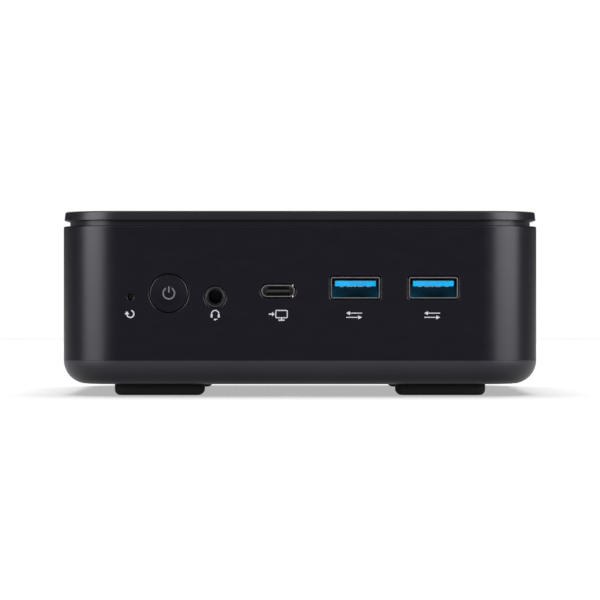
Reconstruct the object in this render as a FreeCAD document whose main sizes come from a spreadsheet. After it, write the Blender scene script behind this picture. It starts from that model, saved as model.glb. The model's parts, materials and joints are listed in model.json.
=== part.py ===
"""Compact desktop computer: parametric model of the casing, ports, board, cooler, memory and drives.

Frame: +X to the right seen from the front, -Y out of the front face, +Z up, millimetres.
The origin is the middle of the footprint at the underside of the feet.
"""
import FreeCAD, Part
import math
import os
import re
import Sketcher

Vector = FreeCAD.Vector

# name: (value in mm unless it is a count or an angle, what it is)
SIZES = {
    # casing
    "body_width": (127.5, "side to side"),
    "body_depth": (118, "front to back"),
    "corner_radius": (16, "upright corners, seen from above"),
    "wall": (2, "side walls of the housing"),
    "housing_height": (35.9, "seam to deck"),
    "deck": (2, "thickness of the housing's top"),
    "deck_edge": (0.4, "rounding around the deck"),
    "edge_round": (6.35, "rounding under the base"),
    "base_lip": (0.05, "straight band above that rounding"),
    "base_floor": (2, "thickness of the base"),
    "base_rim": (1.6, "height of the rim that centres the base"),
    "rim_wall": (1.2, "thickness of that rim"),
    "rim_gap": (0.15, "rim to housing wall"),
    "base_inside_round": (3, "inside rounding of the base"),
    # lid
    "neck_height": (1.5, "gap under the lid"),
    "neck_inset": (1.75, "neck behind the housing's side"),
    "lid_thickness": (2.4, "edge of the lid"),
    "lid_inset": (0.2, "lid behind the housing's side"),
    "lid_draft": (6, "degrees, lid edge"),
    "lid_edge": (0.5, "rounding around the lid"),
    "lid_shell": (1.4, "lid plate behind its edge"),
    "lid_wall": (3, "width of the neck's ring"),
    "clip_width": (6, "lid clips"),
    "clip_thickness": (1.2, "lid clips"),
    "clip_hook": (0.8, "how far a clip's hook stands out"),
    "clip_inset": (3.2, "clip middle behind the housing's side"),
    "clip_spread": (44, "between the two clips of one side"),
    "clip_gap": (0.1, "clip in its slot"),
    # feet
    "foot_height": (3, "floor to base"),
    "foot_width": (24, "along the front"),
    "foot_depth": (13, "front to back"),
    "foot_corner": (2.75, "corners seen from above"),
    "foot_edge": (1.5, "rounding at the floor"),
    "foot_spread": (75.4, "between the middles of a left and a right foot"),
    "foot_setback": (8, "foot edge behind the front or rear face"),
    "foot_recess": (0.4, "depth of the seat in the base"),
    "foot_gap": (0.1, "foot in its seat"),
    # screws
    "screw_radius": (1.1, "shank"),
    "screw_head": (2.2, "head radius"),
    "screw_head_height": (1.3, "head"),
    "screw_bite": (6, "length in the post"),
    "screw_clearance": (1.4, "radius of a clearance hole"),
    "cross_width": (0.6, "cross recess"),
    "cross_depth": (0.7, "cross recess"),
    "post_radius": (3.3, "case posts"),
    "counterbore": (2.5, "radius around a base screw head"),
    "counterbore_depth": (1.7, "around a base screw head"),
    "base_post_inset": (7.75, "base screw from the side"),
    "base_post_setback": (13, "base screw from the front or rear"),
    # bracket inserts in the base
    "insert_spread": (84, "between the two threaded inserts"),
    "insert_radius": (2.6, "outside"),
    "insert_thread": (1.65, "M4 thread, minor radius"),
    "insert_length": (4, "thread length"),
    "insert_boss": (3.8, "boss radius"),
    # vents
    "vent_width": (1.6, "side slots"),
    "vent_height": (9, "side slots"),
    "vent_pitch": (4, "side slots"),
    "vent_count": (14, "side slots"),
    "vent_drop": (10, "slot middle below the deck"),
    "floor_vent_width": (2, "base slots"),
    "floor_vent_length": (30, "base slots"),
    "floor_vent_pitch": (5, "base slots"),
    "floor_vent_count": (9, "base slots"),
    # main board
    "board_rise": (14.9, "seam to board"),
    "board_thickness": (1.6, "printed board"),
    "board_side_gap": (10.75, "board to side wall"),
    "board_end_gap": (2, "board to front and rear wall"),
    "board_corner": (3, "corner radius"),
    "board_post": (3, "post radius"),
    "board_post_side": (3, "post from the board's side"),
    "board_post_front": (8, "front posts from the board's front edge"),
    "board_post_rear": (17, "rear posts from the board's rear edge"),
    # power button
    "button_x": (-34.8, "middle"),
    "button_z": (17.9, "above the seam"),
    "button_radius": (5.05, "cap"),
    "button_gap": (0.2, "cap in the housing"),
    "button_dish": (0.35, "hollow of its face"),
    "button_flange": (5.8, "flange radius behind the wall"),
    "button_flange_depth": (1, "flange"),
    "button_flange_gap": (0.1, "flange to wall"),
    "button_travel": (0.6, "stroke"),
    "stem_radius": (1.2, "stem behind the cap"),
    "stem_length": (0.7, "stem behind the flange"),
    "symbol_radius": (1.7, "power symbol"),
    "symbol_line": (0.38, "its line width"),
    "symbol_inlay": (0.4, "its thickness"),
    "switch_gap": (0.4, "stem at full stroke to the switch"),
    "switch_width": (6, "switch body"),
    "switch_depth": (3.6, "switch body"),
    "switch_height": (2.8, "switch body"),
    "plunger_radius": (0.9, "switch plunger"),
    "plunger_gap": (0.1, "plunger in its bore"),
    "plunger_end_gap": (0.2, "plunger tip at full stroke"),
    "plunger_depth": (1.8, "plunger inside the switch at rest"),
    # reset
    "reset_x": (-45, "middle"),
    "reset_z": (16.9, "above the seam"),
    "reset_hole": (0.85, "hole radius"),
    "reset_bevel": (0.25, "bevel around the hole"),
    "reset_width": (4.4, "switch body"),
    "reset_height": (3.8, "switch body"),
    "reset_depth": (3.8, "switch body"),
    "reset_plunger": (0.6, "plunger radius"),
    "reset_out": (1.6, "plunger in front of its switch"),
    "reset_in": (1.3, "plunger inside its switch"),
    "reset_travel": (0.25, "stroke"),
    "reset_setback": (2.4, "switch body behind the wall"),
    # front ports
    "port_gap": (0.3, "shell to the opening around it"),
    "port_setback": (0.3, "shell mouth behind the face"),
    "sheet": (0.3, "connector shells"),
    "audio_x": (-22.5, "middle"),
    "audio_z": (16.9, "above the seam"),
    "audio_bore": (1.8, "plug bore radius"),
    "audio_ring": (2.35, "ring radius"),
    "audio_ring_depth": (1, "ring"),
    "audio_nose": (2.75, "nose radius"),
    "audio_nose_gap": (0.2, "nose in the housing"),
    "audio_width": (6.4, "body"),
    "audio_height": (5.2, "body"),
    "audio_depth": (12.4, "body"),
    "notch_gap": (0.2, "cut-outs in the board"),
    "usb_c_x": (-5.8, "middle"),
    "usb_c_rise": (2, "middle above the board"),
    "usb_c_width": (8.94, "shell"),
    "usb_c_height": (3.26, "shell"),
    "usb_c_length": (9, "shell"),
    "usb_c_tongue_width": (6.5, "tongue"),
    "usb_c_tongue": (0.7, "tongue thickness"),
    "usb_c_tongue_setback": (0.9, "tongue behind its shell's mouth"),
    "usb_c_plug_width": (5.6, "insulator at the shell's back"),
    "usb_c_leg": (0.4, "legs under the shell"),
    "usb_c_leg_spread": (4.6, "between the legs"),
    "usb_a_left_x": (14.7, "middle"),
    "usb_a_right_x": (35.4, "middle"),
    "usb_a_width": (13.1, "shell"),
    "usb_a_height": (5.72, "shell"),
    "usb_a_corner": (0.6, "shell corners"),
    "usb_a_length": (14.2, "shell"),
    "usb_a_tongue_width": (10.9, "tongue"),
    "usb_a_tongue": (1.5, "tongue thickness"),
    "usb_a_tongue_drop": (0.7, "tongue below the shell's inner top"),
    "tongue_setback": (0.6, "tongue behind its shell's mouth"),
    "plug_block": (3, "insulator at the shell's back"),
    "contact_width": (1, "contact strips"),
    "contact_thickness": (0.12, "contact strips"),
    "contact_front": (1.6, "front row behind the mouth"),
    "contact_length": (3.8, "front row"),
    "contact_pitch": (2.4, "front row"),
    "fast_contact_width": (0.7, "second row"),
    "fast_contact_front": (6.2, "second row behind the mouth"),
    "fast_contact_length": (2.8, "second row"),
    "fast_contact_pitch": (1.8, "second row"),
    # rear ports
    "plate_thickness": (1, "rear plate"),
    "rear_margin": (0.75, "rear opening to the corner's start"),
    "plate_overlap": (0.7, "plate beyond the opening"),
    "rear_low": (15, "rear opening's lower edge above the seam"),
    "rear_high": (1.6, "rear opening's upper edge below the deck's underside"),
    "rear_corner": (1.5, "rear opening's corners"),
    "rear_stand": (1, "ports in front of the plate"),
    "power_inset": (6, "power inlet from the rear opening's side"),
    "power_width": (9, "inlet body"),
    "power_height": (11, "inlet body"),
    "power_depth": (14, "inlet body"),
    "power_bore": (3.15, "inlet bore radius"),
    "power_bore_depth": (9.5, "inlet bore"),
    "power_pin": (1.05, "centre pin radius"),
    "power_pin_setback": (1, "pin behind the mouth"),
    "hdmi_x": (25, "middle"),
    "hdmi_width": (15, "shell"),
    "hdmi_height": (5.55, "shell"),
    "hdmi_cut": (1.9, "lower corners"),
    "display_x": (6.5, "middle"),
    "display_width": (17, "shell"),
    "display_height": (5.7, "shell"),
    "display_cut": (1.8, "its one slanted corner"),
    "video_length": (12.5, "shells"),
    "video_tongue": (0.9, "tongue thickness"),
    "video_tongue_side": (1.9, "tongue inside the shell's side"),
    "video_plug_side": (2.9, "insulator inside the shell's side"),
    "video_tongue_setback": (1, "tongue behind the mouth"),
    "ethernet_x": (-12.5, "middle"),
    "ethernet_width": (16, "body"),
    "ethernet_height": (13.3, "body"),
    "ethernet_length": (21, "body"),
    "ethernet_mouth_width": (11.9, "mouth"),
    "ethernet_mouth_height": (7.6, "mouth"),
    "ethernet_mouth_rise": (3.4, "mouth above the board"),
    "ethernet_key_width": (6.2, "latch keyway"),
    "ethernet_key_drop": (1.7, "latch keyway below the mouth"),
    "ethernet_mouth_depth": (13, "mouth"),
    "wire_count": (8, "contact wires"),
    "wire_pitch": (1.02, "contact wires"),
    "wire_width": (0.35, "contact wires"),
    "wire_height": (0.4, "contact wires"),
    "wire_setback": (3, "wires behind the mouth"),
    "stack_x": (-29.3, "stacked ports, middle"),
    "stack_width": (13.7, "shell"),
    "stack_height": (15.3, "shell"),
    "stack_length": (17.5, "shell"),
    "stack_divider": (0.3, "each mouth from the middle line, beyond its share"),
    "lock_inset": (5.6, "lock slot from the rear opening's side"),
    "lock_width": (7, "lock slot"),
    "lock_height": (3, "lock slot"),
    "lock_rise": (4, "lock slot above the board"),
    "grille_width": (1.8, "exhaust slots"),
    "grille_pitch": (3, "exhaust slots"),
    "grille_count": (12, "exhaust slots"),
    "grille_margin": (1.2, "slots inside the fins' outline"),
    # cooler
    "cooler_x": (16, "middle of blower, fins and processor"),
    "fins_width": (36, "fin stack"),
    "fins_length": (45.5, "fin stack"),
    "fins_end_gap": (0.5, "fins to rear plate"),
    "fin": (0.3, "fin thickness"),
    "fin_pitch": (1.7, "fins"),
    "fin_gaps": (20, "air channels"),
    "fin_base": (0.5, "plate under the fins"),
    "deck_gap": (0.7, "cooler to deck"),
    "pipe_width": (6, "flattened heat pipe"),
    "pipe_height": (3, "flattened heat pipe"),
    "pipe_spread": (12, "between the heat pipes"),
    "pipe_gap": (1, "heat pipes to the video ports"),
    "plate_width": (36, "cold plate"),
    "plate_length": (30, "cold plate"),
    "plate_height": (2, "cold plate"),
    "processor_width": (28, "package"),
    "processor_length": (24, "package"),
    "processor_height": (1.2, "package"),
    "die_width": (13, "die"),
    "die_length": (10, "die"),
    "die_height": (0.5, "die"),
    "cooler_screw_inset": (2.6, "screw from the cold plate's edge"),
    "cooler_screw_head": (1.8, "head radius"),
    "cooler_screw_shank": (0.8, "shank radius"),
    "cooler_screw_hole": (1, "hole radius"),
    "cooler_screw_head_height": (0.9, "head"),
    "cooler_screw_out": (0.6, "tip below the board"),
    "plate_setback": (1, "cold plate behind the front of the fins"),
    "blower_width": (52, "housing"),
    "blower_gap": (0.5, "housing to the fins"),
    "blower_length": (53, "housing"),
    "blower_rise": (4.1, "housing above the board"),
    "blower_leg": (2, "leg radius"),
    "blower_leg_inset": (5, "leg from the housing's sides"),
    "blower_corner": (8, "housing corners"),
    "blower_skin": (1.2, "housing walls"),
    "blower_lid": (0.8, "cover plate"),
    "blower_setback": (1.5, "impeller middle in front of the housing's middle"),
    "impeller_radius": (22, "blade tips"),
    "hub_radius": (9.5, "hub"),
    "hub_skin": (1.2, "hub wall"),
    "blade_count": (23, "blades"),
    "blade": (0.7, "blade thickness"),
    "impeller_gap": (0.6, "impeller to floor and cover"),
    "inlet_radius": (16, "air inlet"),
    "shaft_radius": (0.75, "motor shaft"),
    "shaft_gap": (0.05, "running clearance"),
    "shaft_boss": (2, "boss radius around the shaft"),
    "stator_radius": (7.4, "motor"),
    "stator_bore": (2.6, "motor"),
    "stator_height": (5, "motor"),
    "stator_floor": (1, "motor plate under the bore"),
    "boss_rise": (2, "hub boss above the housing floor"),
    "blade_root": (0.4, "blade sunk in the hub"),
    "blade_sweep": (3.6, "how far the tip leans"),
    "blade_lean": (0.9, "how far the blade's middle leans"),
    # memory and cards under the board
    "memory_x": (10, "middle"),
    "memory_y": (-9, "between the two sockets"),
    "memory_width": (69.6, "module"),
    "memory_length": (30, "module"),
    "memory_board": (1.2, "module"),
    "memory_chip": (1, "chip thickness"),
    "memory_drop": (2.2, "module below the board"),
    "memory_bite": (2, "module edge in the socket"),
    "chip_width": (10, "memory chip"),
    "chip_length": (14, "memory chip"),
    "chip_pitch": (15.5, "memory chips"),
    "chip_setback": (17, "chip middle from the module's contact edge"),
    "socket_width": (73, "memory socket"),
    "socket_length": (6, "memory socket"),
    "socket_height": (4.4, "memory socket"),
    "socket_gap": (1, "from the middle line to each socket"),
    "latch": (0.6, "latch arm thickness"),
    "latch_length": (22, "latch arm"),
    "latch_gap": (0.2, "latch arm to module"),
    "latch_height": (1.8, "latch arm"),
    "card_width": (22, "M.2 cards"),
    "card_board": (0.8, "M.2 cards"),
    "card_drop": (2, "M.2 cards below the board"),
    "card_chip": (1.2, "chips on the cards"),
    "card_chip_length": (15, "chips on the storage card, across it"),
    "card_chip_width": (13, "chips on the storage card, along it"),
    "card_chip_pitch": (19, "chips on the storage card"),
    "radio_shield_width": (14, "shield on the radio card"),
    "radio_shield_length": (16, "shield on the radio card"),
    "radio_shield_place": (11, "shield middle from the contact end"),
    "storage_length": (80, "storage card"),
    "storage_start_x": (-38, "contact end"),
    "storage_y": (41, "middle line"),
    "radio_length": (30, "radio card"),
    "radio_x": (-39.5, "middle line"),
    "radio_start_y": (-13, "contact end"),
    "card_socket_length": (4.4, "M.2 socket"),
    "card_socket_height": (3.6, "M.2 socket"),
    "card_bite": (1.4, "card in its socket"),
    "card_socket_side": (0.6, "socket beyond the card's side"),
    "card_screw_head": (1.7, "head radius"),
    "card_screw_height": (0.8, "head"),
    "cell_x": (-33, "coin cell"),
    "cell_y": (2, "coin cell"),
    "cell_radius": (10, "coin cell"),
    "cell_height": (3.2, "coin cell"),
    "cell_clearance": (0.2, "cell in its holder"),
    "holder_floor": (0.8, "holder under the cell"),
    "holder_rim": (2.4, "holder around the cell"),
    "holder_wall": (1.5, "holder outside the cell"),
    "choke": (6.5, "power choke, side"),
    "choke_height": (3, "power choke"),
    "choke_pitch": (8, "power chokes"),
    "choke_x": (-16, "first choke"),
    "choke_y": (30, "row of chokes"),
    "choke_count": (3, "power chokes"),
    # drive
    "drive_width": (100.4, "along the front"),
    "drive_depth": (69.85, "front to back"),
    "drive_height": (7, "drive"),
    "drive_corner": (1.5, "drive corners"),
    "tray_sheet": (0.8, "tray"),
    "tray_wall": (5.5, "height of the tray's sides"),
    "tray_gap": (0.2, "drive to the tray's sides"),
    "tray_window": (48, "opening over the base slots, along X"),
    "tray_window_depth": (36, "opening over the base slots, along Y"),
    "drive_plug_out": (4, "drive connector, beyond the drive"),
    "drive_plug_side": (9, "drive connector, beyond the flat cable"),
    "drive_plug_height": (4, "drive connector"),
    "ribbon": (0.4, "flat cable thickness"),
    "ribbon_width": (16, "flat cable"),
    "ribbon_y": (26, "flat cable, middle line"),
    "ribbon_out": (3.5, "cable beyond its plug"),
    "ribbon_drop": (3, "cable below the board"),
    "ribbon_end": (2, "cable end from the drive's plug"),
    "ribbon_socket": (4, "socket on the board, along X"),
    "ribbon_socket_under": (1, "socket below the cable"),
    # aerials
    "aerial_width": (14, "along X"),
    "aerial_length": (24, "along Y"),
    "aerial_height": (0.8, "board"),
    "aerial_spread": (25, "between the two aerials"),
    "aerial_y": (9.5, "between the two aerials, middle"),
    "aerial_inset": (13, "aerial middle from the case side"),
    "lead_radius": (0.55, "coaxial lead"),
    "lead_spread": (5, "between the two leads"),
    "lead_start": (4, "snap plug from the radio card's middle line"),
    "lead_off_aerial": (4.25, "rising lead, outward from the aerial's middle"),
    "lead_bend": (5, "bend radius"),
    "snap_radius": (0.9, "snap plug"),
    "snap_height": (1.2, "snap plug"),
}

# places worked out from the sizes
PLACES = {
    "front": "-body_depth / 2",
    "rear": "body_depth / 2",
    "inner_front": "front + wall",
    "floor_top": "foot_height + base_floor",
    "seam": "foot_height + edge_round + base_lip",
    "deck_top": "seam + housing_height",
    "deck_under": "deck_top - deck",
    "lid_under": "deck_top + neck_height",
    "lid_top": "lid_under + lid_thickness",
    "base_wall": "wall + rim_gap + rim_wall",
    "board_under": "seam + board_rise",
    "board_top": "board_under + board_thickness",
    "board_width": "body_width - 2 * wall - 2 * board_side_gap",
    "board_front": "inner_front + board_end_gap",
    "board_rear": "rear - wall - board_end_gap",
    "post_x": "board_width / 2 - board_post_side",
    "post_front_y": "board_front + board_post_front",
    "post_rear_y": "board_rear - board_post_rear",
    "base_post_x": "body_width / 2 - base_post_inset",
    "base_post_y": "body_depth / 2 - base_post_setback",
    "foot_x": "foot_spread / 2",
    "foot_y": "body_depth / 2 - foot_setback - foot_depth / 2",
    "clip_x": "body_width / 2 - clip_inset",
    "button_height": "seam + button_z",
    "flange_front": "inner_front + button_flange_gap",
    "flange_back": "flange_front + button_flange_depth",
    "stem_back": "flange_back + stem_length",
    "switch_front": "stem_back + button_travel + switch_gap",
    "plunger_back": "switch_front + plunger_depth",
    "reset_level": "seam + reset_z",
    "reset_front": "inner_front + reset_setback",
    "audio_level": "seam + audio_z",
    "usb_c_level": "board_top + usb_c_rise",
    "usb_a_level": "board_top + usb_a_height / 2",
    "mouth": "front + port_setback",
    "rear_half": "body_width / 2 - corner_radius - rear_margin",
    "rear_bottom": "seam + rear_low",
    "rear_top": "deck_under - rear_high",
    "plate_back": "rear - wall",
    "plate_front": "plate_back - plate_thickness",
    "rear_mouth": "plate_back + rear_stand",
    "power_x": "rear_half - power_inset",
    "power_level": "board_top + power_height / 2",
    "hdmi_level": "board_top + hdmi_height / 2",
    "display_level": "board_top + display_height / 2",
    "stack_level": "board_top + stack_height / 2",
    "lock_x": "-(rear_half - lock_inset)",
    "lock_level": "board_top + lock_rise",
    "processor_top": "board_top + processor_height + die_height",
    "cold_top": "processor_top + plate_height",
    "fins_under": "cold_top + pipe_height",
    "cooler_top": "deck_under - deck_gap",
    "fins_back": "plate_front - fins_end_gap",
    "fins_front": "fins_back - fins_length",
    "cold_y": "fins_front + plate_length / 2 + plate_setback",
    "pipe_back": "rear_mouth - video_length - pipe_gap",
    "blower_back": "fins_front - blower_gap",
    "blower_y": "blower_back - blower_length / 2",
    "blower_under": "board_top + blower_rise",
    "blower_lid_under": "cooler_top - blower_lid",
    "impeller_y": "blower_y - blower_setback",
    "blower_inside": "blower_under + blower_skin",
    "impeller_under": "blower_inside + impeller_gap",
    "impeller_top": "blower_lid_under - impeller_gap",
    "hub_ceiling": "impeller_top - hub_skin",
    "memory_level": "board_under - memory_drop",
    "card_level": "board_under - card_drop",
    "drive_under": "floor_top + tray_sheet",
    "drive_level": "drive_under + drive_height / 2",
    "lead_level": "card_level - card_board - snap_height / 2",
    "lead_x": "-(body_width / 2 - aerial_inset + lead_off_aerial)",
}

doc = FreeCAD.newDocument("mini_computer")
sheet = doc.addObject("Spreadsheet::Sheet", "Sizes")
for row, (size_name, (size_value, size_note)) in enumerate(SIZES.items(), start=1):
    sheet.set(f"A{row}", size_name)
    sheet.set(f"B{row}", str(size_value))
    sheet.set(f"C{row}", size_note)
    sheet.setAlias(f"B{row}", size_name)
doc.recompute()

nodes = []


# ---------------------------------------------------------------- formulas
def formula(text):
    """Turn size and place names into cell references."""
    def reference(match):
        word = match.group()
        if word in PLACES:
            return f"({formula(PLACES[word])})"
        if word in SIZES:
            return f"Sizes.{word}"
        if word == "sqrt":
            return word
        raise KeyError(f"no size or place is named {word}")
    return re.sub(r"[a-z][a-z_0-9]*", reference, str(text))


def number(text):
    """Present value of a formula."""
    return float(sheet.evalExpression(formula(text)))


def bind(thing, setting, text):
    thing.setExpression(setting, formula(text))


def node(label, thing):
    """Name a finished piece; it becomes a file of its own."""
    thing.Label = label
    nodes.append(thing)
    return thing


# ---------------------------------------------------------------- sketches
VIEWS = {"top": "XY_Plane", "front": "XZ_Plane", "side": "YZ_Plane"}


def new_body(name):
    return doc.addObject("PartDesign::Body", name)


def new_sketch(body, view, level):
    """A sketch across the body at a height (top), a depth (front) or a width (side)."""
    sketch = body.newObject("Sketcher::SketchObject", body.Name + "_sketch")
    plane = [part for part in body.Origin.OriginFeatures if part.Role == VIEWS[view]][0]
    sketch.AttachmentSupport = [(plane, "")]
    sketch.MapMode = "FlatFace"
    bind(sketch, "AttachmentOffset.Base.z", f"-({level})" if view == "front" else level)
    return sketch


def dimension(sketch, kind, parts, text):
    index = sketch.addConstraint(Sketcher.Constraint(kind, *parts, number(text)))
    bind(sketch, f"Constraints[{index}]", text)


def place(sketch, geometry, point, across, up):
    dimension(sketch, "DistanceX", (-1, 1, geometry, point), across)
    dimension(sketch, "DistanceY", (-1, 1, geometry, point), up)


def draw_circle(sketch, across, up, radius):
    centre = Vector(number(across), number(up), 0)
    index = sketch.addGeometry(Part.Circle(centre, Vector(0, 0, 1), number(radius)), False)
    dimension(sketch, "Radius", (index,), radius)
    place(sketch, index, 3, across, up)


def draw_polygon(sketch, points):
    corners = [Vector(number(across), number(up), 0) for across, up in points]
    first = sketch.GeometryCount
    count = len(points)
    for index, corner in enumerate(corners):
        sketch.addGeometry(Part.LineSegment(corner, corners[(index + 1) % count]), False)
    for index, (across, up) in enumerate(points):
        sketch.addConstraint(Sketcher.Constraint(
            "Coincident", first + index, 2, first + (index + 1) % count, 1))
        place(sketch, first + index, 1, across, up)


def draw_rectangle(sketch, across, up, width, height):
    """A rectangle about its middle."""
    draw_polygon(sketch, [(f"{across} + {side} * ({width}) / 2", f"{up} + {rise} * ({height}) / 2")
                          for side, rise in ((-1, -1), (1, -1), (1, 1), (-1, 1))])


def draw_rounded(sketch, across, up, width, height, radius):
    """A rectangle with round corners about its middle: four lines and four arcs."""
    middle = Vector(number(across), number(up), 0)
    half_width, half_height, bend = number(width) / 2, number(height) / 2, number(radius)
    first = sketch.GeometryCount
    for turn in range(4):
        along, away = (half_width, half_height) if turn % 2 == 0 else (half_height, half_width)
        spin = FreeCAD.Rotation(Vector(0, 0, 1), 90 * turn)
        start = middle + spin.multVec(Vector(-along + bend, -away, 0))
        end = middle + spin.multVec(Vector(along - bend, -away, 0))
        centre = middle + spin.multVec(Vector(along - bend, -away + bend, 0))
        sketch.addGeometry(Part.LineSegment(start, end), False)
        circle = Part.Circle(centre, Vector(0, 0, 1), bend)
        angle = math.pi / 2 * (turn - 1)
        sketch.addGeometry(Part.ArcOfCircle(circle, angle, angle + math.pi / 2), False)
    for index in range(8):
        sketch.addConstraint(Sketcher.Constraint(
            "Tangent", first + index, 2, first + (index + 1) % 8, 1))
    for index, kind in ((0, "Horizontal"), (2, "Vertical"), (4, "Horizontal"), (6, "Vertical")):
        sketch.addConstraint(Sketcher.Constraint(kind, first + index))
    for index in (3, 5, 7):
        sketch.addConstraint(Sketcher.Constraint("Equal", first + 1, first + index))
    dimension(sketch, "Radius", (first + 1,), radius)
    dimension(sketch, "DistanceX", (first + 6, 1, first + 2, 1), width)
    dimension(sketch, "DistanceY", (first, 1, first + 4, 1), height)
    place(sketch, first + 1, 3, f"{across} + ({width}) / 2 - ({radius})",
          f"{up} - ({height}) / 2 + ({radius})")


def draw_slot(sketch, across, up, length, width):
    """A slot with half-round ends, lying along the sketch's first axis."""
    middle = Vector(number(across), number(up), 0)
    reach, bend = (number(length) - number(width)) / 2, number(width) / 2
    first = sketch.GeometryCount
    for side in (1, -1):
        start = middle + Vector(-side * reach, -side * bend, 0)
        end = middle + Vector(side * reach, -side * bend, 0)
        sketch.addGeometry(Part.LineSegment(start, end), False)
        circle = Part.Circle(middle + Vector(side * reach, 0, 0), Vector(0, 0, 1), bend)
        angle = -side * math.pi / 2
        sketch.addGeometry(Part.ArcOfCircle(circle, angle, angle + math.pi), False)
    for index in range(4):
        sketch.addConstraint(Sketcher.Constraint(
            "Tangent", first + index, 2, first + (index + 1) % 4, 1))
    sketch.addConstraint(Sketcher.Constraint("Horizontal", first))
    dimension(sketch, "Radius", (first + 1,), f"({width}) / 2")
    for index, side in ((1, 1), (3, -1)):
        dimension(sketch, "DistanceX", (-1, 1, first + index, 3),
                  f"{across} + {side} * (({length}) - ({width})) / 2")
    dimension(sketch, "DistanceY", (-1, 1, first + 1, 3), up)


# ---------------------------------------------------------------- features
def pad(body, sketch, length, back=False, draft=None):
    """Grow the sketch along its normal, or against it with back."""
    feature = body.newObject("PartDesign::Pad", body.Name + "_pad")
    feature.Profile = sketch
    feature.Reversed = back
    bind(feature, "Length", length)
    if draft:
        bind(feature, "TaperAngle", draft)
    return feature


def pocket(body, sketch, depth, back=False):
    """Cut the sketch against its normal, or along it with back; it has to remove something."""
    doc.recompute()
    before = body.Tip.Shape.Volume
    feature = body.newObject("PartDesign::Pocket", body.Name + "_pocket")
    feature.Profile = sketch
    feature.Reversed = back
    bind(feature, "Length", depth)
    doc.recompute()
    if feature.Shape.Volume >= before:
        raise ValueError(f"{feature.Name} removes nothing")
    return feature


def row_of(body, feature, sketch, pitch, count):
    """Repeat a feature along its sketch's first axis."""
    pattern = body.newObject("PartDesign::LinearPattern", body.Name + "_row")
    pattern.Originals = [feature]
    pattern.Direction = (sketch, ["H_Axis"])
    pattern.Mode = "Spacing"
    bind(pattern, "Offset", pitch)
    bind(pattern, "Occurrences", count)
    body.Tip = pattern
    doc.recompute()
    return pattern


def dress(body, kind, keep, size):
    """Fillet or chamfer every edge of the body's last shape that keep(box) accepts."""
    doc.recompute()
    last = body.Tip
    names = [f"Edge{index}" for index, edge in enumerate(last.Shape.Edges, start=1)
             if keep(edge.BoundBox)]
    feature = body.newObject(f"PartDesign::{kind}", body.Name + "_edge")
    feature.Base = (last, names)
    bind(feature, "Radius" if kind == "Fillet" else "Size", size)
    return feature


def at_level(level):
    """Edges that lie flat at one height."""
    height = number(level)
    return lambda box: abs(box.ZMin - height) < 1e-4 and abs(box.ZMax - height) < 1e-4


# ---------------------------------------------------------------- primitives and booleans
def block(across, deep, high):
    """A box between two formulas on each axis."""
    box = doc.addObject("Part::Box", "block")
    for axis, side, (low, top) in zip("xyz", ("Length", "Width", "Height"), (across, deep, high)):
        bind(box, f"Placement.Base.{axis}", low)
        bind(box, side, f"({top}) - ({low})")
    return box


def middle_block(x, y, width, depth, high):
    """A box about a middle in plan, between two heights."""
    return block((f"{x} - ({width}) / 2", f"{x} + ({width}) / 2"),
                 (f"{y} - ({depth}) / 2", f"{y} + ({depth}) / 2"), high)


def rod(axis, middle, radius, span):
    """A cylinder along an axis; middle is its place on the other two axes, span its two ends."""
    cylinder = doc.addObject("Part::Cylinder", "rod")
    bind(cylinder, "Radius", radius)
    bind(cylinder, "Height", f"({span[1]}) - ({span[0]})")
    turns = {"x": (Vector(0, 1, 0), 90), "y": (Vector(1, 0, 0), -90), "z": (Vector(0, 0, 1), 0)}
    cylinder.Placement.Rotation = FreeCAD.Rotation(*turns[axis])
    places = list(middle)
    places.insert("xyz".index(axis), span[0])
    for name, text in zip("xyz", places):
        bind(cylinder, f"Placement.Base.{name}", text)
    return cylinder


def prism(view, level, length, draw, *shape):
    """A body made of one drawn outline grown along its view; draw is one of the draw functions."""
    body = new_body("prism")
    outline = new_sketch(body, view, level)
    draw(outline, *shape)
    pad(body, outline, length)
    return body


def fuse(*pieces):
    joined = doc.addObject("Part::MultiFuse", "union")
    joined.Shapes = list(pieces)
    joined.Refine = True
    return joined


def cut(base, *tools):
    result = doc.addObject("Part::Cut", "cut")
    result.Base = base
    result.Tool = fuse(*tools) if len(tools) > 1 else tools[0]
    return result


def group(*pieces):
    """Like pieces that share one file, as separate solids."""
    together = doc.addObject("Part::Compound", "group")
    together.Links = list(pieces)
    return together


def screw(x, y, head_under, head_height, head_radius, shank_radius, tip, up=True):
    """A cross-recess screw standing along Z: head below and tip above, or turned over."""
    head_over = f"{head_under} + {head_height}" if up else f"{head_under} - ({head_height})"
    ends = (head_under, head_over) if up else (head_over, head_under)
    shank_ends = (head_over, tip) if up else (tip, head_over)
    whole = fuse(rod("z", (x, y), head_radius, ends), rod("z", (x, y), shank_radius, shank_ends))
    recess = (head_under, f"{head_under} + cross_depth")
    if not up:
        recess = (f"{head_under} - cross_depth", head_under)
    reach = f"1.3 * ({head_radius})"
    arms = [middle_block(x, y, reach, "cross_width", recess),
            middle_block(x, y, "cross_width", reach, recess)]
    return cut(whole, *arms)


CORNERS = ((-1, -1), (1, -1), (-1, 1), (1, 1))


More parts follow.
